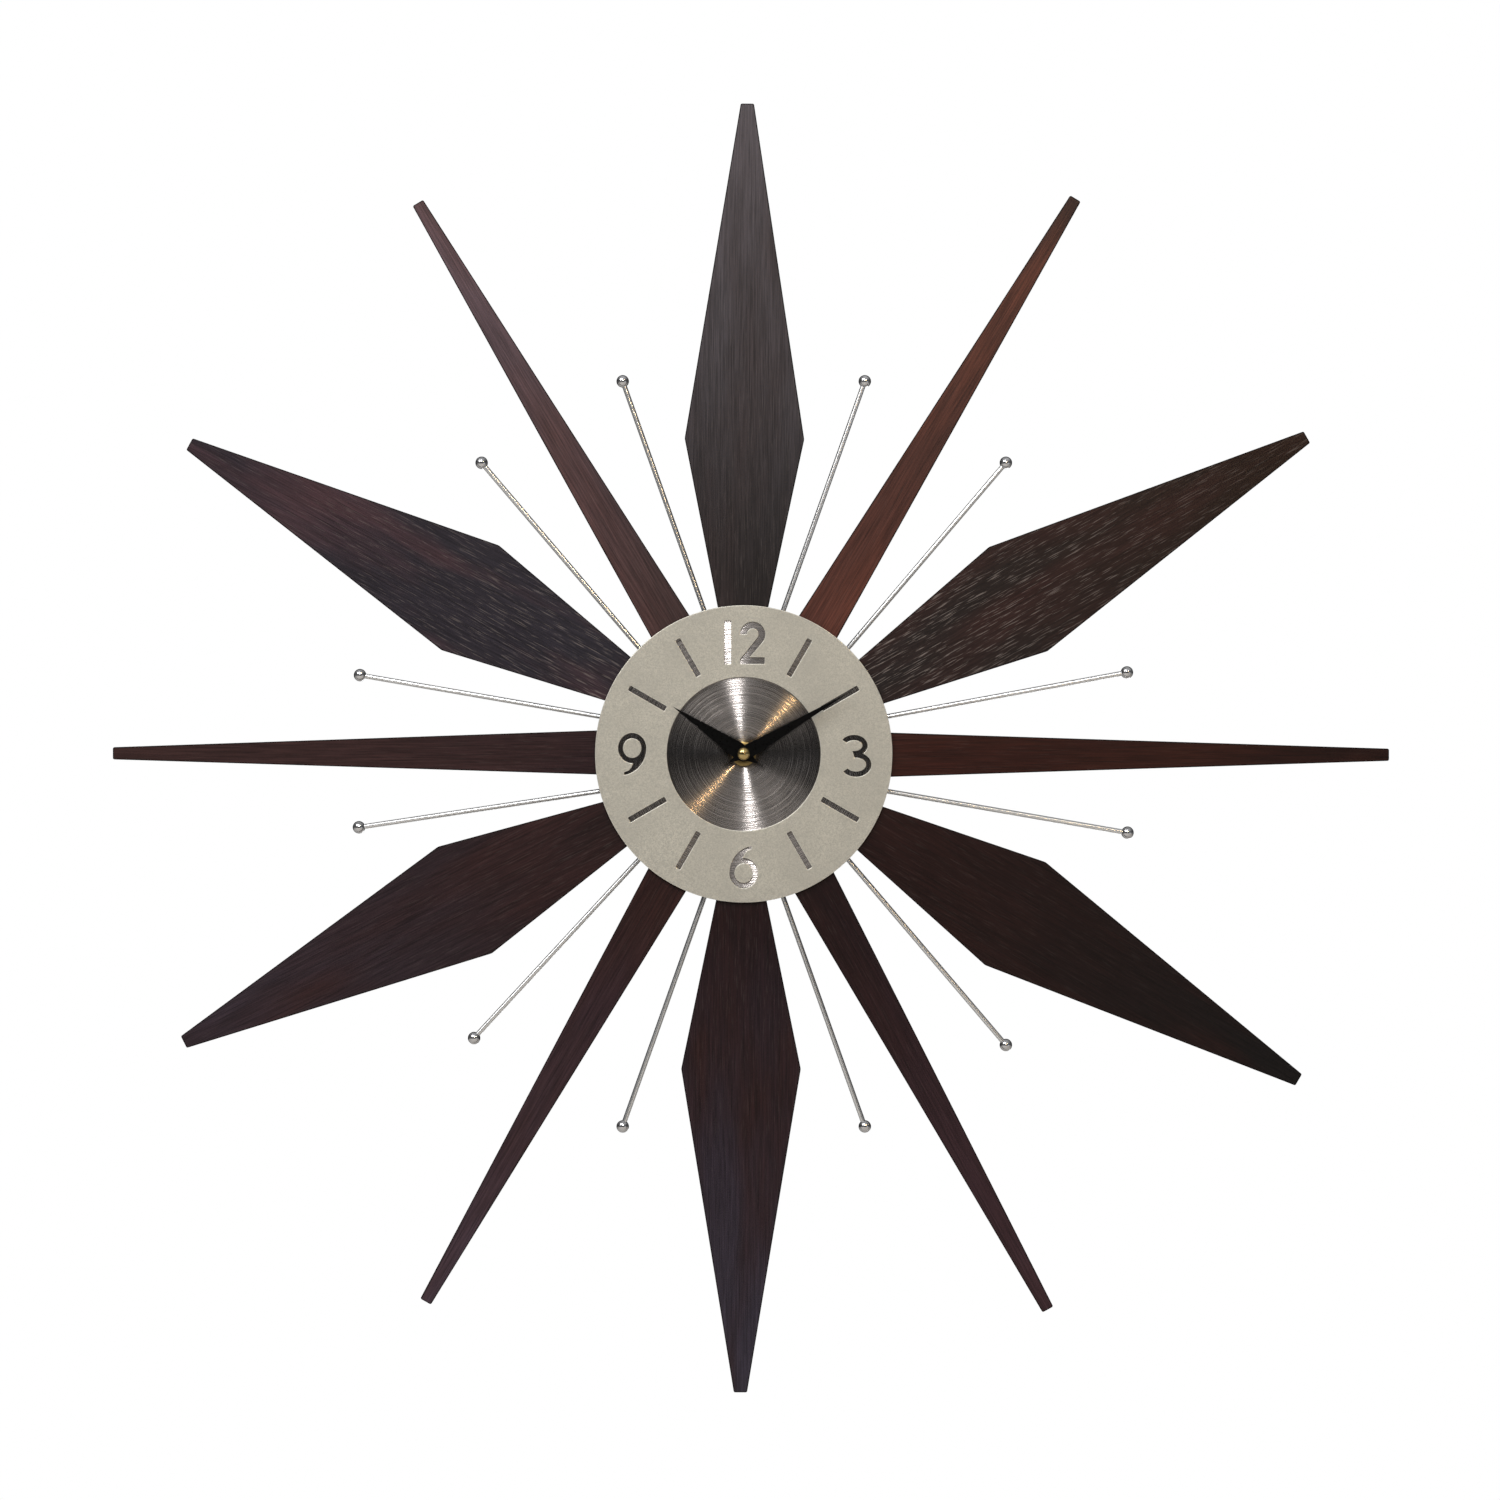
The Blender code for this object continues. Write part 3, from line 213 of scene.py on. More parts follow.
# %% Hanging a finished piece on the frame
def add_piece(name, mesh, matrix, body, slot, materials, *nodes):
    """Places a piece, rides it on its CAD body and hides the solids it stands for."""
    if not mesh.materials:
        for material in materials:
            mesh.materials.append(material)
    piece = bpy.data.objects.new(name, mesh)
    bpy.context.scene.collection.objects.link(piece)
    piece.matrix_world = matrix
    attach(piece, body)
    if nodes:
        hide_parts(*nodes)


# %% [markdown]
# ## Finishes in nodes
# A finish is a small network: a colour, a roughness and a relief, all driven by the piece's own
# coordinates, so that grain runs along a blade wherever the blade points. Colours are picked as
# sRGB hex values, as a paint chart gives them, and one function turns them to the linear numbers
# that light is counted in. The others add nodes and link them, so that a finish reads as a recipe:
# noise, its range remapped, two tones mixed by it, and all of it given to the shader.

# %% Colour and node helpers
def colour(code):
    """Linear RGBA of an sRGB hex value."""
    channels = [int(code[k:k + 2], 16) / 255 for k in (0, 2, 4)]
    linear = [c / 12.92 if c <= 0.04045 else ((c + 0.055) / 1.055) ** 2.4 for c in channels]
    return (*linear, 1.0)


def add_node(tree, kind, inputs=None, **settings):
    """Adds a node with its settings; each input is a value or another node's output."""
    made = tree.nodes.new("ShaderNode" + kind)
    for key, value in settings.items():
        setattr(made, key, value)
    for key, value in (inputs or {}).items():
        if isinstance(value, bpy.types.NodeSocket):
            tree.links.new(value, made.inputs[key])
        else:
            made.inputs[key].default_value = value
    return made


def new_finish(name, metallic=0.0, roughness=0.5):
    """A material with its shader, and the piece's own coordinates."""
    material = bpy.data.materials.new(name)
    material.use_nodes = True
    tree = material.node_tree
    shader = tree.nodes["Principled BSDF"]
    shader.inputs["Metallic"].default_value = metallic
    shader.inputs["Roughness"].default_value = roughness
    return material, tree, shader, add_node(tree, "TexCoord").outputs["Object"]


def per_mm(*sizes):
    """Mapping scale that makes one unit of a pattern this many millimetres along x, y and z."""
    return tuple(1000 / size for size in sizes)


# The sockets of a colour Mix node, which shares its names with the number sockets.
BLEND, FIRST, SECOND, MIXED = 0, 6, 7, 2


def noise(tree, place, scale, detail, turn=0.0, **inputs):
    """Noise laid over a piece, stretched by a scale from per_mm and turned about z."""
    spot = add_node(tree, "Mapping", {"Vector": place, "Scale": scale, "Rotation": (0.0, 0.0, turn)})
    return add_node(tree, "TexNoise", {"Vector": spot.outputs[0], "Scale": 1.0, "Detail": detail,
                                       **inputs}).outputs[0]


def remap(tree, value, low, high, start=0.0, end=1.0):
    """Maps a value that runs from start to end on to low to high, and holds it there beyond."""
    return add_node(tree, "MapRange", {"Value": value, "From Min": start, "From Max": end,
                                       "To Min": low, "To Max": high}).outputs[0]


def two_tone(tree, share, first, second):
    """Mixes two colours, each given as an sRGB hex value or as another node's output."""
    tones = [colour(tone) if isinstance(tone, str) else tone for tone in (first, second)]
    return add_node(tree, "Mix", {BLEND: share, FIRST: tones[0], SECOND: tones[1]},
                    data_type="RGBA").outputs[MIXED]


def times(tree, first, second):
    return add_node(tree, "Math", {0: first, 1: second}, operation="MULTIPLY").outputs[0]


def dress(tree, shader, tone, gloss=None, relief=None, strength=0.0, depth=0.0):
    """Gives the shader a colour, and if there are any a roughness and a relief, depth in mm."""
    tree.links.new(tone, shader.inputs["Base Color"])
    if gloss is not None:
        tree.links.new(gloss, shader.inputs["Roughness"])
    if relief is not None:
        bump = add_node(tree, "Bump", {"Height": relief, "Strength": strength, "Distance": depth * MM})
        tree.links.new(bump.outputs[0], shader.inputs["Normal"])


print("linear mid grey:", round(colour("808080")[0], 3))

# %% [markdown]
# ## Espresso veneer
# The blades are fibreboard faced with open-grained veneer, stained espresso and sprayed with
# satin lacquer. Staining drowns most of the figure, and what the eye still finds is a slow drift
# between a cool grey-brown and a warm red-brown, fine fibre lines along the blade, and on some
# leaves pale open pores where the stain did not take. Real fibres are about 0.1 mm wide, too
# fine to show at this distance, so they are drawn about 0.7 mm wide. Each blade gets its own
# leaf: its own tones and its own spot in the pattern, as leaves from one flitch differ. Those
# tones also hold painted sheen. The satin lacquer's reflection of the lamps, lighter and greyer
# towards the tip on some blades and darker on others, is painted into them.

# %% Veneer for one blade
FIBRE = per_mm(0.7, 30, 6)                # width and length of a fibre line
CLOUD = per_mm(26, 120, 26)               # size of the stain's slow drift
PORE = per_mm(0.5, 12, 6)                 # open pores, drawn wider than the real 0.2 mm
PORE_TONE = "8E8480"
VENEER_SPECULAR = 0.22
LEAF_STEP = (0.31, 0.83)                  # metres from one leaf to the next in the pattern
ROOT_TONE_AT, TIP_TONE_AT = 0.10, 0.36    # metres from the shaft
FEWER_PORES_AT, FEWER_PORES = 0.30, 0.35  # metres from the shaft, and the share left there


def veneer(name, root, tip, warm, pores, seed, stand):
    """Veneer whose grain runs along +Y of a blade that stands in the room as the matrix says."""
    material, tree, shader, room = new_finish(name)
    shader.inputs["Specular IOR Level"].default_value = VENEER_SPECULAR
    place = add_node(tree, "Mapping", {"Vector": room, "Location": stand.translation,
                                       "Rotation": stand.to_euler()}, vector_type="TEXTURE").outputs[0]
    shift = (LEAF_STEP[0] * seed, LEAF_STEP[1] * seed, 0.0)
    leaf = add_node(tree, "VectorMath", {0: place, 1: shift}).outputs[0]
    reach = add_node(tree, "SeparateXYZ", {0: place}).outputs["Y"]
    # Painted sheen: the tone runs from the leaf's colour near the dial to its tip tone, which holds the
    # lacquer's reflection of the lamps.
    stain_and_sheen = two_tone(tree, remap(tree, reach, 0.0, 1.0, ROOT_TONE_AT, TIP_TONE_AT), root, tip)
    cloud = noise(tree, leaf, CLOUD, 3.0)
    stained = two_tone(tree, remap(tree, cloud, 0.0, 0.75, 0.42, 0.68), stain_and_sheen, warm)
    fibre = noise(tree, leaf, FIBRE, 4.0, Roughness=0.65)
    shade = remap(tree, fibre, 0.45, 1.5, 0.3, 0.7)
    grained = add_node(tree, "VectorMath", {0: stained, "Scale": shade}, operation="SCALE").outputs[0]
    pore = noise(tree, leaf, PORE, 2.0)
    most = remap(tree, reach, pores, FEWER_PORES * pores, ROOT_TONE_AT, FEWER_PORES_AT)
    surface = two_tone(tree, remap(tree, pore, 0.0, most, 0.59, 0.68), grained, PORE_TONE)
    dress(tree, shader, surface, remap(tree, fibre, 0.30, 0.44), fibre, 0.35, 0.08)
    return material


# %% [markdown]
# ## Edge paint and the unseen back
# The blades' edges are painted almost black to hide the board, which outlines each blade, and
# their backs are only sealed, so the board's fibres show as a dull brown felt.

# %% Painted edge and sealed board
def edge_paint():
    """Brush-painted fibreboard edge: dull, with the board's fibres just felt through it."""
    material, tree, shader, place = new_finish("edge_paint_on_fibreboard")
    shader.inputs["Specular IOR Level"].default_value = 0.1
    fibre = noise(tree, place, per_mm(1.5, 1.5, 1.5), 5.0)
    dress(tree, shader, two_tone(tree, fibre, "060404", "100B0A"), remap(tree, fibre, 0.5, 0.75),
          fibre, 0.5, 0.1)
    return material


def board(name, dark, light, roughness):
    """Pressed fibreboard: a felt of short fibres a few millimetres long, lying every way."""
    material, tree, shader, place = new_finish(name)
    layers = [noise(tree, place, per_mm(0.7, 4.0, 2.0), 5.0, turn, Distortion=0.6) for turn in (0.3, 1.4)]
    felt = times(tree, *layers)
    dress(tree, shader, two_tone(tree, remap(tree, felt, 0.0, 1.0, 0.14, 0.38), dark, light),
          remap(tree, felt, roughness + 0.1, roughness - 0.1), felt, 0.4, 0.15)
    return material


EDGE_PAINT = edge_paint()
SEALED_BACK = board("sealed_fibreboard_back", "1D1512", "33261F", 0.7)
RAW_BOARD = board("raw_fibreboard", "6E5138", "9A7857", 0.85)

# %% [markdown]
# ## The blades
# Each blade is sawn from sheet, so the sheet builder makes it: the outline first, then arrises
# eased by half a millimetre. Drawing a blade along its own +Y and turning the finished piece
# keeps the grain running down its length. The blades were fitted by hand, so each leans, shifts
# and reaches by a little, as it does in the CAD frame.

# %% Blade outlines and their scatter, blade by blade clockwise from 12
BLADE_LEAN = (0.5, 1.0, 0.7, 0.0, 0.4, 1.3, 0.1, -0.2, 3.2, -0.1, -1.3, -0.8)      # degrees
BLADE_SHIFT = (-1.2, -1.0, -0.4, 0.5, 0.2, 0.0, 1.3, 2.3, -2.8, 1.0, 3.3, 1.3)     # sideways
BLADE_REACH = (7.0, 5.0, 4.5, 4.0, 3.0, -3.0, 0.0, -3.0, -5.0, -4.5, -2.0, 1.0)    # along
ROOT_R, SHOULDER_R, TIP_R = 54.0, 186.0, 377.0
WIDE_HALF = (16.5 / 2, 70.6 / 2, 7.8 / 2)       # half widths at root, shoulder and tip
NARROW_HALF = (28.2 / 2, 7.2 / 2)
SHOULDER_ROUND, TIP_ROUND, BLADE_ARRIS = 5.0, 1.0, 0.55


def rounded(corners, steps=4):
    """Outline through (x, y, radius) corners, with an arc at each that has a radius."""
    loop = []
    for k, (x, y, radius) in enumerate(corners):
        here = Vector((x, y))
        if radius == 0:
            loop.append((x, y))
            continue
        back = (Vector(corners[k - 1][:2]) - here).normalized()
        ahead = (Vector(corners[(k + 1) % len(corners)][:2]) - here).normalized()
        half = back.angle(ahead) / 2
        centre = here + (back + ahead).normalized() * radius / math.sin(half)
        start = here + back * radius / math.tan(half) - centre
        end = here + ahead * radius / math.tan(half) - centre
        for n in range(steps + 1):
            loop.append(tuple(centre + start.lerp(end, n / steps).normalized() * radius))
    return loop


def blade_outline(hour):
    tip = TIP_R + BLADE_REACH[hour]
    if hour % 2:
        half = [(NARROW_HALF[0], ROOT_R, 0.0), (NARROW_HALF[1], tip, TIP_ROUND)]
    else:
        half = [(WIDE_HALF[0], ROOT_R, 0.0), (WIDE_HALF[1], SHOULDER_R, SHOULDER_ROUND),
                (WIDE_HALF[2], tip, TIP_ROUND)]
    return rounded(half + [(-x, y, r) for x, y, r in reversed(half)])


# %% Each leaf's tones near the dial and at the tip, with painted sheen in them, its warm drift, and its open pores
LEAVES = (("1C1819", "4C474D", "2E2526", 0.08), ("4E2C25", "2E1C18", "5C3226", 0.04),
          ("201A1A", "1E0E08", "321B19", 0.60), ("2F110B", "1E0A08", "35170F", 0.04),
          ("1E0A09", "0E0A0B", "240F0D", 0.05), ("17070A", "3A262C", "230F0D", 0.04),
          ("1B0A0D", "322D39", "28120F", 0.06), ("240F0F", "42343E", "2F1A17", 0.04),
          ("201112", "2F262E", "2F1A1A", 0.08), ("28171A", "342120", "34201F", 0.05),
          ("25222A", "241E26", "483035", 0.35), ("392A2A", "54434A", "4F3534", 0.05))

for hour, (root, tip, warm, pores) in enumerate(LEAVES):
    label = f"{hour or 12:02d}"
    back, front = heights(f"blade_{label}")
    mesh = sheet(f"veneered_blade_{label}", blade_outline(hour), [], eased(front, back, BLADE_ARRIS))
    angle = 30.0 * hour
    x, y = polar(BLADE_SHIFT[hour], angle + 90)
    stand = on_dial(x, y, 0.0, angle + BLADE_LEAN[hour])
    mesh.transform(stand)
    finish = veneer(f"espresso_veneer_{label}", root, tip, warm, pores, hour + 1, stand)
    add_piece(f"veneered_blade_{label}", mesh, Matrix(), "clock", "espresso_veneer",
              (finish, EDGE_PAINT, SEALED_BACK), f"blade_{label}")
print("blades:", len(LEAVES))

# %% [markdown]
# ## Steel: drawn rod, polished ball
# The rods are drawn steel wire with a satin skin: fine scratches run along them, which spread a
# highlight round the rod and keep it sharp along it. The balls are ground and polished to a
# mirror, so they show the room and almost no roughness of their own, only faint wiping marks.

# %% Satin and polished steel
def satin_steel(name, tone, scratches):
    """Steel with fine scratches, sized along each way by a scale from per_mm."""
    material, tree, shader, place = new_finish(name, 1.0, 0.3)
    scratch = noise(tree, place, scratches, 3.0)
    dress(tree, shader, two_tone(tree, scratch, tone, "F2F3F4"), remap(tree, scratch, 0.22, 0.34),
          scratch, 0.15, 0.01)
    return material


def polished(name, tone, shadow, roughness):
    """Polished metal, with wiping marks a millimetre or so wide."""
    material, tree, shader, place = new_finish(name, 1.0, roughness)
    wipe = noise(tree, place, per_mm(1.2, 1.2, 1.2), 4.0)
    dress(tree, shader, two_tone(tree, wipe, tone, shadow),
          remap(tree, wipe, roughness, 2 * roughness, 0.35, 0.75))
    return material


ROD_STEEL = satin_steel("drawn_satin_steel", "D6D7D9", per_mm(0.9, 0.9, 30))
BALL_STEEL = polished("polished_steel", "DCDCDE", "C2C2C5", 0.05)

# %% Where each rod goes: its hole is drilled in the hub's rim, and its ball was bent into place
HUB_R, ROD_HOLE_DEPTH = 84.0, 22.0
ROD_R, BALL_R, BALL_CENTRE_R, SOCKET, GAP = 1.45, 3.7, 232.0, 2.2, 0.3
HOLE_SPREAD, BALL_SPREAD = 14.8, 12.0                         # degrees from the narrow blade
BALL_SCATTER = {102: -0.4, 222: 1.5, 258: 1.2, 282: -0.4}     # clock angle: extra degrees
ROD_Z = sum(heights("rod_01")) / 2

RODS = []
for blade_angle in range(30, 360, 60):
    for side in (-1, 1):
        angle = blade_angle + side * BALL_SPREAD
        x, y = polar(BALL_CENTRE_R, angle + BALL_SCATTER.get(round(angle), 0.0))
        hole = polar(HUB_R, blade_angle + side * HOLE_SPREAD)
        RODS.append((x, y, math.degrees(math.atan2(x - hole[0], y - hole[1]))))


def down_rod(rod, back):
    """Place at a distance back from a rod's ball towards the hub."""
    x, y, heading = rod
    dx, dy = polar(back, heading)
    return lying(x - dx, y - dy, ROD_Z, heading)


# %% Rods and balls
rod_start = BALL_CENTRE_R - HUB_R + ROD_HOLE_DEPTH - GAP      # both measured back from the ball
rod_end = BALL_R - SOCKET + GAP
half = (rod_start - rod_end) / 2
CHAMFER = 0.35
rod_mesh = turned("satin_rod", [(0.0, half), (ROD_R - CHAMFER, half), (ROD_R, half - CHAMFER),
                                (ROD_R, 0.0), (ROD_R, CHAMFER - half), (ROD_R - CHAMFER, -half),
                                (0.0, -half)], 40)
mouth = ROD_R + GAP
rim = math.degrees(math.acos(mouth / BALL_R))
skin = arc((0.0, 0.0), (BALL_R, BALL_R), 90, -rim, 30)
ball_mesh = turned("polished_ball", [(0.0, BALL_R)] + skin[1:]
                   + [(mouth, SOCKET - BALL_R), (0.0, SOCKET - BALL_R)], 48)
for number, rod in enumerate(RODS, 1):
    add_piece(f"satin_rod_{number:02d}", rod_mesh, down_rod(rod, rod_end + half), "clock",
              "satin_steel", (ROD_STEEL,), f"rod_{number:02d}")
    add_piece(f"polished_ball_{number:02d}", ball_mesh, down_rod(rod, 0.0), "clock",
              "polished_steel", (BALL_STEEL,), f"ball_{number:02d}")
print("rods and balls:", len(RODS), "each, at", round(ROD_Z, 2), "mm off the wall")

# %% [markdown]
# ## The pierced ring
# The ring is sheet aluminium, stamped through with figures and bars, blasted and sprayed a
# champagne silver. Aluminium flake in the lacquer gives the eye a soft sparkle with no mirror in
# it. Real flakes are a few hundredths of a millimetre across; they are drawn 0.55 mm wide so
# that their sparkle survives at this distance. The stamped edges get a brighter, glossier
# champagne: a painted highlight that draws a light line round every edge. The closed middles
# of the 6 and the 9 stand by themselves on the disc behind.

# %% Champagne lacquer with flake
FLAKE = per_mm(0.55, 0.55, 0.55)
MIST = per_mm(28, 28, 28)                 # size of the spray's slow drift


def champagne(name, tone, sparkle, roughness):
    """Sprayed lacquer in which each flake has its own brightness and roughness."""
    material, tree, shader, place = new_finish(name, 0.35, roughness)
    spot = add_node(tree, "Mapping", {"Vector": place, "Scale": FLAKE}).outputs[0]
    flake = add_node(tree, "TexVoronoi", {"Vector": spot, "Scale": 1.0}).outputs["Color"]
    glint = add_node(tree, "SeparateColor", {0: flake}).outputs[0]
    share = times(tree, glint, noise(tree, place, MIST, 3.0))
    dress(tree, shader, two_tone(tree, share, tone, sparkle),
          remap(tree, glint, roughness - 0.06, roughness + 0.08), glint, 0.25, 0.03)
    return material


RING_FACE = champagne("champagne_flake_lacquer", "A4A29A", "CFCCC0", 0.5)
# The edge tones are brighter than the face's: a painted highlight that outlines every stamped edge.
RING_EDGE_HIGHLIGHT = champagne("champagne_edge_painted_highlight", "C9C7BD", "E6E4DA", 0.32)

# %% Figures and bars, drawn in the dial's frame
STROKE = 3.1
SIX_CENTRE, NINE_CENTRE = (-0.3, -66.75), (-65.6, -0.1)
BAR_HALF, BAR_IN, BAR_OUT, BAR_ROUND = 1.6, 53.2, 78.0, 0.5


def numeral_12():
    one = rounded([(-11.4, 53.0, 0.4), (-7.5, 53.0, 0.4), (-7.5, 78.6, 0.4), (-11.4, 78.6, 0.4)])
    bowl = (5.3, 70.6)
    foot = [(3.4, 57.0, 0.0), (12.3, 57.0, 0.3), (12.3, 53.1, 0.3), (-2.1, 53.1, 0.3),
            (-2.1, 55.9, 0.0)]
    outer = [(x, y, 0.0) for x, y in arc(bowl, (7.4, 7.4), 180, -35, 36)]
    inner = [(x, y, 0.0) for x, y in arc(bowl, (3.5, 3.5), -35, 180, 28)]
    return [one, rounded(outer + foot + inner)]


def numeral_3():
    upper, lower = (65.0, 4.9), (66.2, -6.3)
    upper_out, lower_out = (8.1, 6.3), (9.1, 7.2)
    upper_in = (upper_out[0] - STROKE, upper_out[1] - STROKE)
    lower_in = (lower_out[0] - STROKE, lower_out[1] - STROKE)
    return [arc(upper, upper_out, 148, -49, 32) + arc(lower, lower_out, 63, -146, 34)
            + arc(lower, lower_in, -146, 98, 34) + arc(upper, upper_in, -100, 148, 32)]


def numeral_6():
    """Outside of the figure, then its closed middle."""
    bowl, size, tail_size = (-0.1, -70.3), (8.3, 8.9), (15.0, 16.0)
    left = bowl[0] - size[0]
    tail = arc((left + tail_size[0], bowl[1]), tail_size, 172, 97, 20)
    throat = [(4.6, -56.0), (1.9, -57.1), (0.4, -58.8)]
    return [arc(bowl, size, 94, -180, 50) + tail + throat,
            arc(bowl, (size[0] - STROKE + 0.2, size[1] - STROKE), 0, 354, 59)]


def half_turned(loops, about, moved_to):
    """Turns a figure half round about a point and moves that point elsewhere."""
    return [[(moved_to[0] + about[0] - x, moved_to[1] + about[1] - y) for x, y in loop] for loop in loops]


def bar(hour):
    corners = rounded([(-BAR_HALF, BAR_IN, BAR_ROUND), (BAR_HALF, BAR_IN, BAR_ROUND),
                       (BAR_HALF, BAR_OUT, BAR_ROUND), (-BAR_HALF, BAR_OUT, BAR_ROUND)])
    turn = Matrix.Rotation(-math.radians(30 * hour), 2)
    return [tuple(turn @ Vector(point)) for point in corners]


six = numeral_6()
nine = half_turned(six, SIX_CENTRE, NINE_CENTRE)
bars = [bar(hour) for hour in range(12) if hour % 3]
openings = [*bars, *numeral_12(), *numeral_3(), six[0], nine[0]]
print("openings in the ring:", len(openings))

# %% Ring and the middles of its closed figures
RING_OUT, RING_IN, RING_ARRIS = 87.7, 45.4, 0.35
ring_back, ring_front = heights("dial_ring")
disc_back, disc_front = heights("spun_disc")
ring_mesh = sheet("pierced_ring", circle(RING_OUT, 240), [circle(RING_IN, 180)] + openings,
                  eased(ring_front, ring_back, RING_ARRIS))
# Faces take the face lacquer; walls and eased arrises take the edge lacquer with its painted highlight.
enamel = (RING_FACE, RING_EDGE_HIGHLIGHT, RING_FACE)
add_piece("pierced_ring", ring_mesh, on_dial(), "clock", "champagne_enamel", enamel, "dial_ring")
for label, counter in (("6", six[1]), ("9", nine[1])):
    island = sheet(f"figure_middle_{label}", counter, [], eased(ring_front, disc_front, RING_ARRIS))
    add_piece(f"figure_middle_{label}", island, on_dial(), "clock", "champagne_enamel", enamel)

# %% [markdown]
# ## The spun disc
# Behind the ring lies a steel disc polished on a lathe, so that its scratches are circles round
# the shaft. A scratch spreads light across itself and not along itself, so each lamp draws a
# bright spoke from the middle to the rim, and the disc goes dark between spokes. Two things
# make that here: an anisotropic shader whose tangent runs round the axis, and concentric
# relief for the grooves, given straight to the normal as a lean along the radius. Real grooves
# are about 0.05 mm apart, drawn 0.4 mm apart here.

# %% Steel with concentric scratches
GROOVE = 0.4           # mm from one groove to the next
GROOVE_SLOPE = 0.27    # how far a groove's sides lean, as a tangent
SMUDGE = per_mm(9, 9, 9)


def groove_noise(tree, radius, pitch, detail):
    """Noise that changes with the radius alone, this many millimetres from one ring to the next."""
    count = times(tree, radius, 1000 / pitch)
    return add_node(tree, "TexNoise", {"W": count, "Scale": 1.0, "Detail": detail},
                    noise_dimensions="1D").outputs[0]


def spun_steel():
    """Steel whose scratches are circles: sharp round the axis, spread widely along each radius."""
    material, tree, shader, place = new_finish("spun_steel", 1.0, 0.2)
    shader.inputs["Anisotropic"].default_value = 1.0
    shader.inputs["Anisotropic Rotation"].default_value = 0.25
    flat = add_node(tree, "VectorMath", {0: place, 1: (1.0, 1.0, 0.0)}, operation="MULTIPLY").outputs[0]
    radius = add_node(tree, "VectorMath", {0: flat}, operation="LENGTH").outputs["Value"]
    outward = add_node(tree, "VectorMath", {0: flat}, operation="NORMALIZE").outputs[0]
    slope = remap(tree, groove_noise(tree, radius, GROOVE, 2.0), -GROOVE_SLOPE, GROOVE_SLOPE, 0.25, 0.75)
    lean = add_node(tree, "VectorMath", {0: outward, "Scale": slope}, operation="SCALE").outputs[0]
    lean = add_node(tree, "VectorTransform", {0: lean}, vector_type="VECTOR", convert_from="OBJECT",
                    convert_to="WORLD").outputs[0]
    face = add_node(tree, "NewGeometry").outputs["Normal"]
    tilted = add_node(tree, "VectorMath", {0: face, 1: lean}).outputs[0]
    tilted = add_node(tree, "VectorMath", {0: tilted}, operation="NORMALIZE").outputs[0]
    polish = groove_noise(tree, radius, 3 * GROOVE, 3.0)
    smudge = noise(tree, place, SMUDGE, 5.0)
    dress(tree, shader, two_tone(tree, polish, "8E8784", "B0ABA8"),
          remap(tree, smudge, 0.18, 0.23, 0.3, 0.7))
    round_axis = add_node(tree, "Tangent", direction_type="RADIAL", axis="Z").outputs[0]
    tree.links.new(tilted, shader.inputs["Normal"])
    tree.links.new(round_axis, shader.inputs["Tangent"])
    return material


SPUN = spun_steel()

# %% Disc, with its edge just rolled back
SHAFT_HOLE, DISC_R, DISC_ROLL = 4.28, 83.0, 0.4
DISC_RINGS = (20.0, 46.0)      # two extra circles keep the flat face's quads short
disc_profile = [(SHAFT_HOLE, disc_front - 0.1), (SHAFT_HOLE + 0.15, disc_front)]
disc_profile += [(radius, disc_front) for radius in (*DISC_RINGS, DISC_R - DISC_ROLL)]
disc_profile += [(DISC_R, disc_front - 0.3), (DISC_R, disc_back + 0.1), (DISC_R - 0.2, disc_back),
                 (SHAFT_HOLE, disc_back)]
add_piece("spun_plate", turned("spun_plate", disc_profile, 240, ring=True), on_dial(), "clock",
          "spun_steel", (SPUN,), "spun_disc")

# %% [markdown]
# ## Hands and their nuts
# The hands are stamped kites of thin sheet, sprayed gloss black, each on a brass collet. A
# stamping rolls its edges over a little, and that roll is what draws a light line down one side.
# The brass nuts are turned, so they are spun from a profile and polished.

# %% Black lacquer
def lacquer():
    """Gloss lacquer on stamped steel: a dark mirror with a little orange peel."""
    material, tree, shader, place = new_finish("gloss_black_lacquer", 0.0, 0.28)
    shader.inputs["Specular IOR Level"].default_value = 0.12
    peel = noise(tree, place, per_mm(1.6, 1.6, 1.6), 2.0)
    dress(tree, shader, two_tone(tree, peel, "020202", "060607"), remap(tree, peel, 0.22, 0.36),
          peel, 0.15, 0.05)
    return material


LACQUER = lacquer()
BRASS = polished("polished_brass", "D3BC86", "A9905A", 0.12)
# A darker brass for the dial nut than for the cap nut and collets.
DARKER_BRASS = polished("darker_brass", "8F7B50", "6A5936", 0.2)

# %% Hands: name, reach from the shaft, width, clock angle, shaft radius and body of each
HANDS = (("hour", 50.5, 10.0, 303.7, 2.59, "hour_work"), ("minute", 70.5, 8.4, 59.7, 1.6, "minute_work"))
TAIL, WAIST, HAND_THICK, HAND_ARRIS = 11.0, 4.0, 0.6, 0.14
COLLET_LONG, COLLET_WALL, COLLET_SUNK, PRESS_GAP = 0.8, 0.6, 0.35, 0.15
for label, long, wide, angle, shaft_r, body in HANDS:
    front = heights(f"{label}_hand")[1]
    back = front - HAND_THICK
    bore = shaft_r + PRESS_GAP
    kite = [(0.0, -TAIL), (wide / 2, WAIST), (0.0, long), (-wide / 2, WAIST)]
    blank = sheet(f"{label}_kite", kite, [circle(bore, 48)], eased(front, back, HAND_ARRIS))
    add_piece(f"{label}_kite", blank, on_dial(turn=angle), body, "black_lacquer", (LACQUER,) * 3,
              f"{label}_hand")
    collet = [(bore, back - COLLET_LONG), (bore + COLLET_WALL, back - COLLET_LONG),
              (bore + COLLET_WALL, front - COLLET_SUNK), (bore, front - COLLET_SUNK)]
    add_piece(f"{label}_collet", turned(f"{label}_collet", collet, 40, ring=True), on_dial(turn=angle),
              body, "polished_brass", (BRASS,))
print("hands:", len(HANDS))

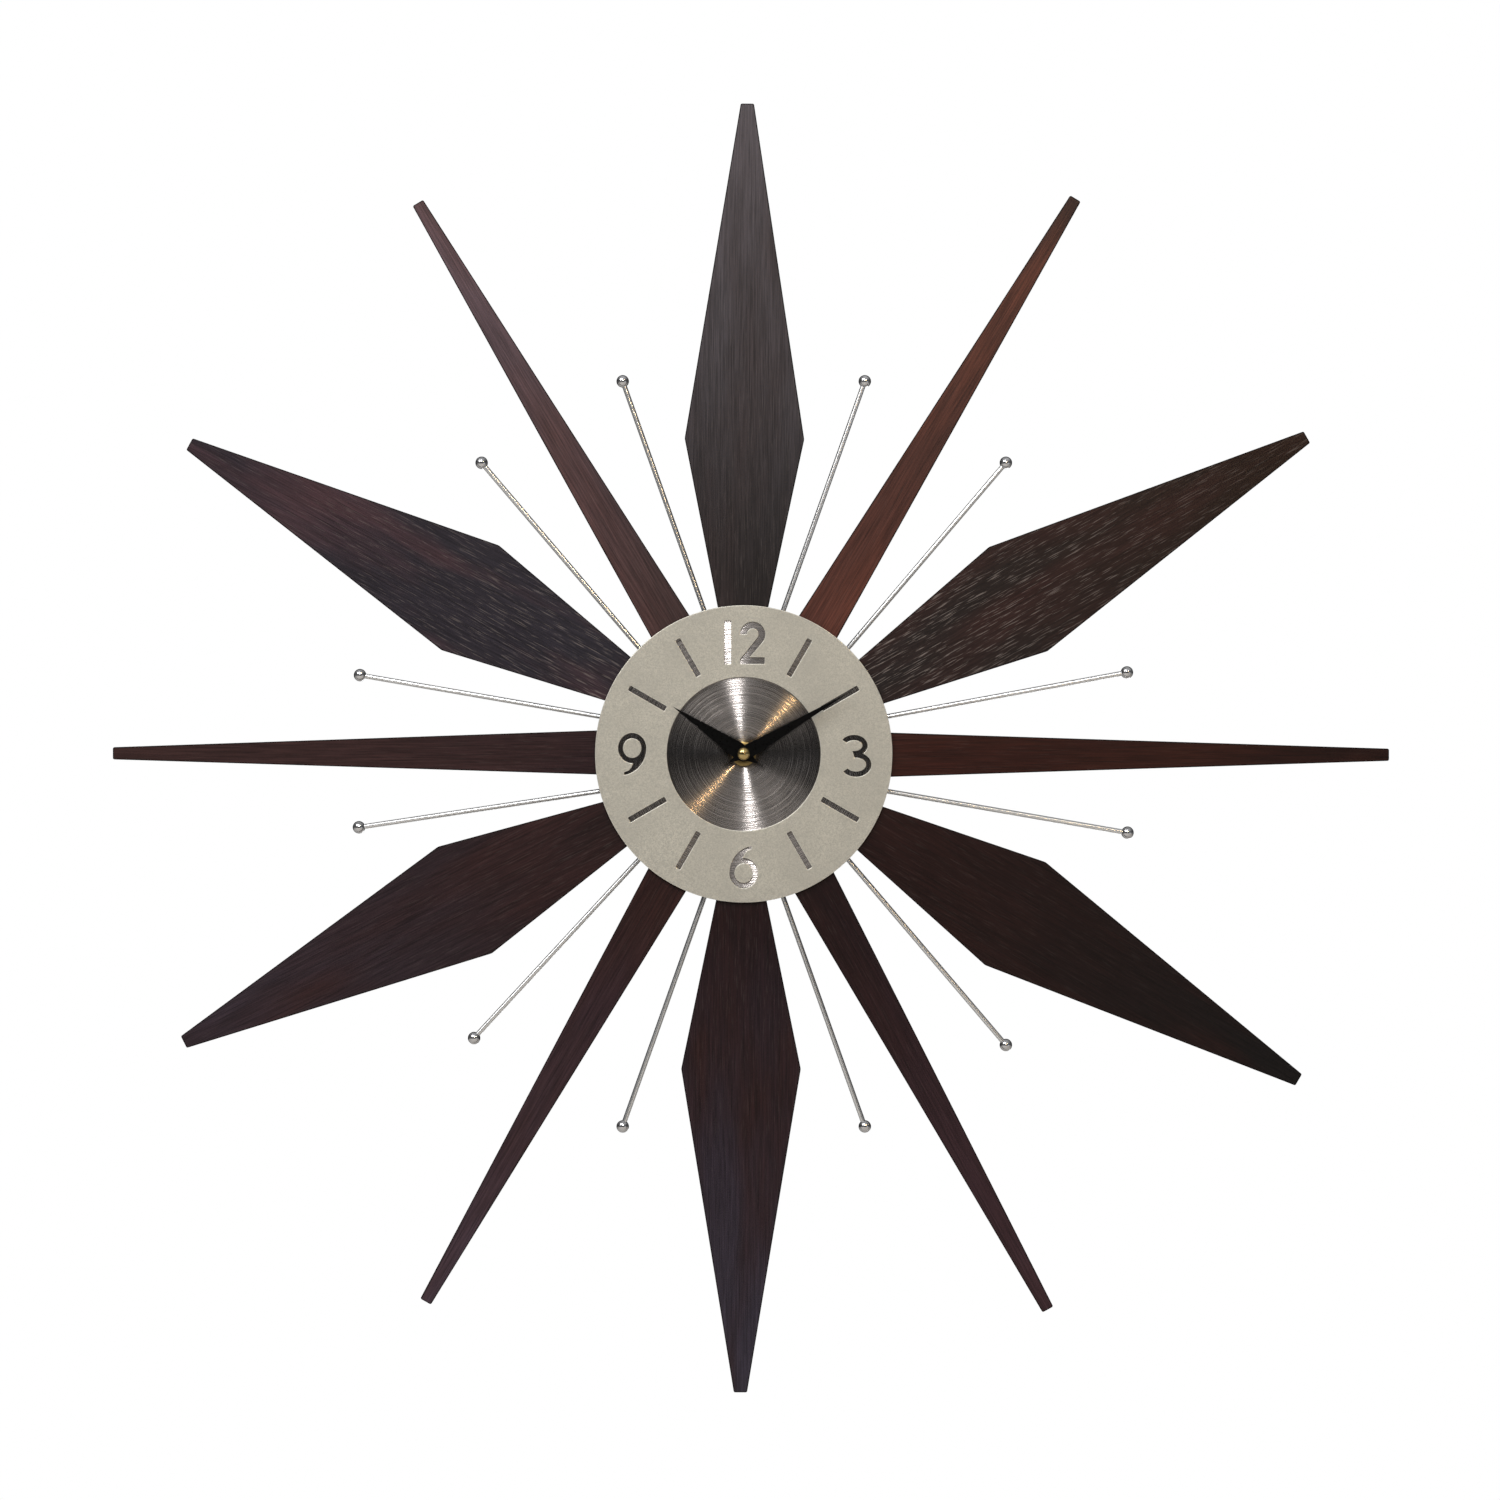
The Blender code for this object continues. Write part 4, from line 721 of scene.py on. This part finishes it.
# %% Nuts
CAP_R, CAP_EDGE, CAP_BORE_R, CAP_BORE_DEEP = 3.55, 0.12, 1.75, 2.2
CAP_STRAIGHT = 0.45            # share of the cap's height below its dome
DIAL_NUT_R, DIAL_NUT_BORE_R = 7.35, 4.13
nut_back, nut_front = heights("cap_nut")
straight = nut_back + CAP_STRAIGHT * (nut_front - nut_back)
dome = arc((0.0, straight), (CAP_R - CAP_EDGE, nut_front - straight), 90, 0, 18)
cap = [(0.0, nut_front)] + dome[1:] + [(CAP_R, straight - CAP_EDGE), (CAP_R, nut_back + 0.3),
                                       (CAP_R - 0.25, nut_back), (CAP_BORE_R, nut_back),
                                       (CAP_BORE_R, nut_back + CAP_BORE_DEEP),
                                       (0.0, nut_back + CAP_BORE_DEEP)]
add_piece("domed_cap_nut", turned("domed_cap_nut", cap, 48), on_dial(), "minute_work", "polished_brass",
          (BRASS,), "cap_nut")
low, high = heights("dial_nut")
nut = [(DIAL_NUT_BORE_R, high - 0.25), (DIAL_NUT_BORE_R + 0.27, high), (DIAL_NUT_R - 0.6, high),
       (DIAL_NUT_R - 0.15, high - 0.2), (DIAL_NUT_R, high - 0.6), (DIAL_NUT_R, low + 0.2),
       (DIAL_NUT_R - 0.2, low), (DIAL_NUT_BORE_R, low)]
add_piece("turned_dial_nut", turned("turned_dial_nut", nut, 64, ring=True), on_dial(), "clock",
          "polished_brass", (DARKER_BRASS,), "dial_nut")

# %% [markdown]
# ## The hub behind the dial
# A disc of fibreboard carries everything: the rods push into holes drilled in its rim, and two
# wood screws from behind hold each blade. It is turned as one profile, then drilled.

# %% Hub plate with its twelve drilled holes
BOSS_R, BOSS_ARRIS, HUB_ARRIS = 40.0, 0.5, 0.8
DRILL_LONG = 28.0              # long enough to come out past the rim
hub_back, boss_front = heights("hub_plate")
hub_front = heights("blade_12")[0] - GAP
hub_profile = [(SHAFT_HOLE, boss_front), (BOSS_R - BOSS_ARRIS, boss_front),
               (BOSS_R, boss_front - BOSS_ARRIS), (BOSS_R, hub_front), (HUB_R - HUB_ARRIS, hub_front),
               (HUB_R, hub_front - HUB_ARRIS), (HUB_R, hub_back + HUB_ARRIS),
               (HUB_R - HUB_ARRIS, hub_back), (SHAFT_HOLE, hub_back)]
drills = bmesh.new()
for rod in RODS:
    bit = down_rod(rod, BALL_CENTRE_R - HUB_R + ROD_HOLE_DEPTH - DRILL_LONG / 2)
    bmesh.ops.create_cone(drills, cap_ends=True, segments=24, radius1=mouth * MM, radius2=mouth * MM,
                          depth=DRILL_LONG * MM, matrix=STAND_UP.inverted() @ bit)
hub_mesh = drilled(turned("hub_board", hub_profile, 120, ring=True), finished(drills, "drills"))
add_piece("hub_board", hub_mesh, on_dial(), "clock", "raw_fibreboard", (RAW_BOARD,), "hub_plate")

# %% Wood screws, two to a blade, each left with its cross at its own angle
SCREW_R, SCREW_HIGH, DOME_HIGH = 3.2, 1.5, 1.485
SCREWS_AT = (61.0, 75.0)       # from the shaft
SCREW_LEAN = 0.6               # share of the blade's lean that its screws follow
CROSS_WIDE, CROSS_LONG, CROSS_DEEP = 0.7, 3.4, 1.6
head = [(SCREW_R * math.sin(a), DOME_HIGH * (1 - math.cos(a)))
        for a in [math.radians(15 * k) for k in range(6)]]
head += [(SCREW_R, SCREW_HIGH), (0.0, SCREW_HIGH)]
cross = bmesh.new()
for size in ((CROSS_WIDE, CROSS_LONG, CROSS_DEEP), (CROSS_LONG, CROSS_WIDE, CROSS_DEEP)):
    bmesh.ops.create_cube(cross, size=1.0, matrix=Matrix.Diagonal((*(Vector(size) * MM), 1.0)))
screw_mesh = drilled(turned("pan_head_screw", head, 32), finished(cross, "cross"))
ZINC = satin_steel("zinc_plated_screw", "A9A6A0", per_mm(0.6, 0.6, 0.6))
for hour, lean in enumerate(BLADE_LEAN):
    for row, radius in enumerate(SCREWS_AT, 1):
        x, y = polar(radius, 30 * hour + lean * SCREW_LEAN)
        place = on_dial(x, y, hub_back - SCREW_HIGH, 37 * hour + 61 * row)
        add_piece(f"pan_head_screw_{hour or 12:02d}_{row}", screw_mesh, place, "clock", "satin_steel",
                  (ZINC,))

# %% [markdown]
# ## The movement
# The movement is a moulded styrene box with a hanging eye, a battery bay and a knob that sets
# the hands. Its solids in the frame have the right shape already, so they stay, with a small
# bevel for the radius that every moulding has, and moulded, stamped, wound or plated finishes.

# %% Moulded plastics and wound wire
def moulded(name, dark, light, roughness, grain=0.45):
    """Moulded plastic: a spark-eroded tool leaves an even, fine pebble."""
    material, tree, shader, place = new_finish(name, 0.0, roughness)
    pebble = noise(tree, place, per_mm(grain, grain, grain), 3.0)
    flow = noise(tree, place, per_mm(14, 14, 14), 3.0)
    dress(tree, shader, two_tone(tree, flow, dark, light),
          remap(tree, pebble, roughness - 0.08, roughness + 0.12), pebble, 0.3, 0.04)
    return material


def wound(name, dark, light, pitch):
    """Enamelled wire wound in even turns along x; the real 0.1 mm turns are drawn wider."""
    material, tree, shader, place = new_finish(name, 1.0, 0.3)
    spot = add_node(tree, "Mapping", {"Vector": place, "Scale": per_mm(pitch, 9, 9)}).outputs[0]
    turns = add_node(tree, "TexWave", {"Vector": spot, "Scale": 0.31, "Distortion": 0.4},
                     bands_direction="X").outputs["Fac"]
    dress(tree, shader, two_tone(tree, turns, dark, light), relief=turns, strength=0.6, depth=0.1)
    return material


STYRENE = moulded("moulded_black_styrene", "121315", "1E1F22", 0.42)
KNOB_STYRENE = moulded("moulded_grey_styrene", "2A2B2E", "3A3B3F", 0.45)
WHITE_ACETAL = moulded("moulded_white_acetal", "DEDCD3", "EEECE6", 0.35)
YELLOW_ACETAL = moulded("moulded_yellow_acetal", "CDAE4C", "DFC56C", 0.35)
FERRITE = moulded("pressed_ferrite", "2C2D31", "4A4B50", 0.5, 0.25)
LAMINATE = moulded("green_circuit_laminate", "1F5234", "37784F", 0.38, 0.6)
LAMINATION = satin_steel("stamped_silicon_steel", "83858A", per_mm(6, 0.3, 0.3))
NICKEL = satin_steel("plated_nickel_strip", "AFADA2", per_mm(0.3, 0.3, 5))
COPPER = wound("wound_copper_wire", "6E2F16", "C4713F", 0.35)

# %% Finishes for the solids that stay
KEPT = {"front_case": STYRENE, "back_case": STYRENE, "setting_knob": KNOB_STYRENE,
        "cannon_wheel": BRASS, "hour_wheel": WHITE_ACETAL, "motion_wheel": WHITE_ACETAL,
        "centre_wheel": YELLOW_ACETAL, "third_wheel": WHITE_ACETAL, "seconds_wheel": YELLOW_ACETAL,
        "intermediate_wheel": WHITE_ACETAL, "rotor": FERRITE, "stator": LAMINATION, "coil": COPPER,
        "circuit_board": LAMINATE, "contact_plus": NICKEL, "contact_minus": NICKEL}
for node, finish in KEPT.items():
    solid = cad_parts[node]
    for slot in solid.material_slots:
        slot.material = finish
for node, width in (("front_case", 0.4), ("back_case", 0.3), ("setting_knob", 0.15)):
    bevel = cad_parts[node].modifiers.new("moulded_radius", "BEVEL")
    bevel.width = width * MM
    bevel.segments = 2
    bevel.limit_method = "ANGLE"
    bevel.angle_limit = math.radians(50)
    bevel.use_clamp_overlap = True
print("solids kept:", len(KEPT))

# %% [markdown]
# ### The cell
# A dry cell is a drawn steel can in a shrunk film jacket: the film stops short of both ends and
# curls over the shoulder, and bare plated steel shows past it.

# %% Battery, drawn along its own +Z towards its plus end
def film(name, dark, light):
    """Shrunk plastic film: glossy, with stretch lines round the can."""
    material, tree, shader, place = new_finish(name, 0.0, 0.25)
    shader.inputs["Coat Weight"].default_value = 0.5
    stretch = noise(tree, place, per_mm(20, 20, 0.7), 4.0)
    dress(tree, shader, two_tone(tree, stretch, dark, light), remap(tree, stretch, 0.18, 0.34),
          stretch, 0.2, 0.05)
    return material


CELL_R, CAN_R, NUB_R, NUB_LONG = 7.15, 6.75, 2.75, 1.3
low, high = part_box("battery")
middle = (low + high) / 2
plus = (high.x - low.x) / 2 / MM
minus, neck = -plus, plus - NUB_LONG
CELL_AT = (STAND_UP @ Matrix.Translation(Vector((middle.x, middle.z, -middle.y)))
           @ Matrix.Rotation(math.pi / 2, 4, "Y"))
can = [(0.0, plus), (NUB_R - 0.3, plus), (NUB_R, plus - 0.3), (NUB_R, neck), (6.3, neck - 0.2),
       (CAN_R, neck - 0.7), (CAN_R, minus + 1.2), (6.3, minus + 0.5), (5.2, minus + 0.5), (4.9, minus),
       (0.0, minus)]
jacket = [(6.0, neck - 0.05), (6.9, neck - 0.05), (CELL_R, neck - 0.5), (CELL_R, minus + 0.7),
          (6.9, minus + 0.25), (6.2, minus + 0.25), (6.2, minus + 0.6), (CAN_R + 0.01, minus + 1.2),
          (CAN_R + 0.01, neck - 0.7), (6.0, neck - 0.3)]
CAN_STEEL = satin_steel("plated_can_steel", "B4B2AC", per_mm(0.6, 0.6, 0.6))
FILM = film("shrunk_film_jacket", "24405C", "3B6184")
add_piece("cell_can", turned("cell_can", can, 48), CELL_AT, "clock", "battery_jacket", (CAN_STEEL,),
          "battery")
add_piece("cell_jacket", turned("cell_jacket", jacket, 64, ring=True), CELL_AT, "clock",
          "battery_jacket", (FILM,))
print("cell:", round(2 * plus, 2), "mm long")

# %% [markdown]
# ## The studio
# The clock hangs clear of any wall over a pale floor, against white. A big soft key stands high
# to the left, a weaker fill to the right, and two narrow strips draw the two spokes on the spun
# disc: one white, nearly straight above, one warm, at half past one. A last lamp stands low and
# far back, where the floor's edge lets only part of its light past. What lies behind the camera
# is kept dark, because polished metal that faces the camera shows exactly that.

# %% Floor
FLOOR_HALF_X, FLOOR_HALF_Y, FLOOR_Y, FLOOR_Z = 8.0, 4.5, -3.6, -0.575     # metres
floor_shape = bmesh.new()
bmesh.ops.create_grid(floor_shape, x_segments=1, y_segments=1, size=1.0)
for vert in floor_shape.verts:
    vert.co = Vector((FLOOR_HALF_X * vert.co.x, FLOOR_HALF_Y * vert.co.y + FLOOR_Y, FLOOR_Z))
floor = bpy.data.objects.new("studio_floor", finished(floor_shape, "studio_floor"))
bpy.context.scene.collection.objects.link(floor)
floor.data.materials.append(board("pale_studio_floor", "D8D6D2", "E6E4E0", 0.7))

# %% Lamps
# Clock angle and degrees off the dial's axis, then metres away, width, length, watts and colour.
LAMPS = {"key": (-42, 52, 2.4, 1.1, 0.9, 21, "FFFDFA"),
         "fill": (110, 50, 2.6, 1.4, 1.4, 3, "F6F8FF"),
         "white_strip": (-7, 34, 2.2, 0.12, 1.4, 14, "FFFFFF"),
         "back": (160, 140, 2.6, 1.2, 1.2, 22, "FFFFFF"),
         "warm_strip": (42, 36, 2.2, 0.02, 1.4, 7, "FFD9A0")}


def lamp(name, clock_angle, off_axis, distance, across, along, watts, tone):
    """Rectangular lamp that faces the dial, its length in one plane with the dial's axis."""
    light = bpy.data.lights.new(name, "AREA")
    light.shape = "RECTANGLE"
    light.size, light.size_y = across, along
    light.energy = watts
    light.color = colour(tone)[:3]
    obj = bpy.data.objects.new(name, light)
    bpy.context.scene.collection.objects.link(obj)
    tilt, turn = math.radians(off_axis), math.radians(clock_angle)
    outward = Vector((math.sin(turn) * math.sin(tilt), -math.cos(tilt), math.cos(turn) * math.sin(tilt)))
    side = Vector((math.cos(turn), 0.0, -math.sin(turn)))
    axes = Matrix((side, outward.cross(side), outward)).transposed()
    obj.matrix_world = Matrix.Translation(outward * distance) @ axes.to_4x4()


for name, settings in LAMPS.items():
    lamp(name, *settings)
print("lamps:", len(LAMPS))

# %% Surroundings: white to the eye, but dark at the sides, round the camera and behind for metal
SIDE_LEVEL, TOP_LEVEL, CAMERA_LEVEL, BACK_LEVEL = 0.12, 0.6, 0.05, 0.12
WHITE = colour("FFFFFF")
world = bpy.data.worlds.new("studio")
bpy.context.scene.world = world
world.use_nodes = True
tree = world.node_tree
tree.nodes.clear()
direction = add_node(tree, "TexCoord").outputs["Generated"]
parts = add_node(tree, "SeparateXYZ", {0: direction}).outputs
across = add_node(tree, "CombineXYZ", {0: parts["X"], 1: parts["Z"]}).outputs[0]
sideways = add_node(tree, "VectorMath", {0: across}, operation="NORMALIZE").outputs[0]
above = add_node(tree, "SeparateXYZ", {0: sideways}).outputs["Y"]
steep = add_node(tree, "Math", {0: above}, operation="ABSOLUTE").outputs[0]
level = remap(tree, steep, SIDE_LEVEL, TOP_LEVEL, 0.35, 0.98)
level = times(tree, level, remap(tree, parts["Y"], CAMERA_LEVEL, 1.0, -0.985, -0.9))
level = times(tree, level, remap(tree, parts["Y"], 1.0, BACK_LEVEL, 0.15, 0.6))
around = add_node(tree, "Background", {"Color": WHITE, "Strength": level}).outputs[0]
seen = add_node(tree, "Background", {"Color": WHITE, "Strength": 1.0}).outputs[0]
straight_on = add_node(tree, "LightPath").outputs["Is Camera Ray"]
both = add_node(tree, "MixShader", {0: straight_on, 1: around, 2: seen}).outputs[0]
add_node(tree, "OutputWorld", {"Surface": both})

# %% Camera: a long lens, square on to the dial
VIEW_WIDTH, CAMERA_DISTANCE, DIAL_PLANE = 0.886, 3.2, -0.03
AIM_X, AIM_Z = 0.0037, 0.0023      # middle of the clock's reach, just off the shaft
camera = bpy.data.cameras.new("camera")
camera.sensor_width = 36.0
camera.lens = camera.sensor_width * CAMERA_DISTANCE / VIEW_WIDTH
eye = bpy.data.objects.new("camera", camera)
bpy.context.scene.collection.objects.link(eye)
eye.location = (AIM_X, DIAL_PLANE - CAMERA_DISTANCE, AIM_Z)
eye.rotation_euler = (math.pi / 2, 0.0, 0.0)
bpy.context.scene.camera = eye
bpy.context.scene.view_settings.view_transform = "Standard"   # paint-chart colours come out as picked
print("lens:", round(camera.lens, 1), "mm")
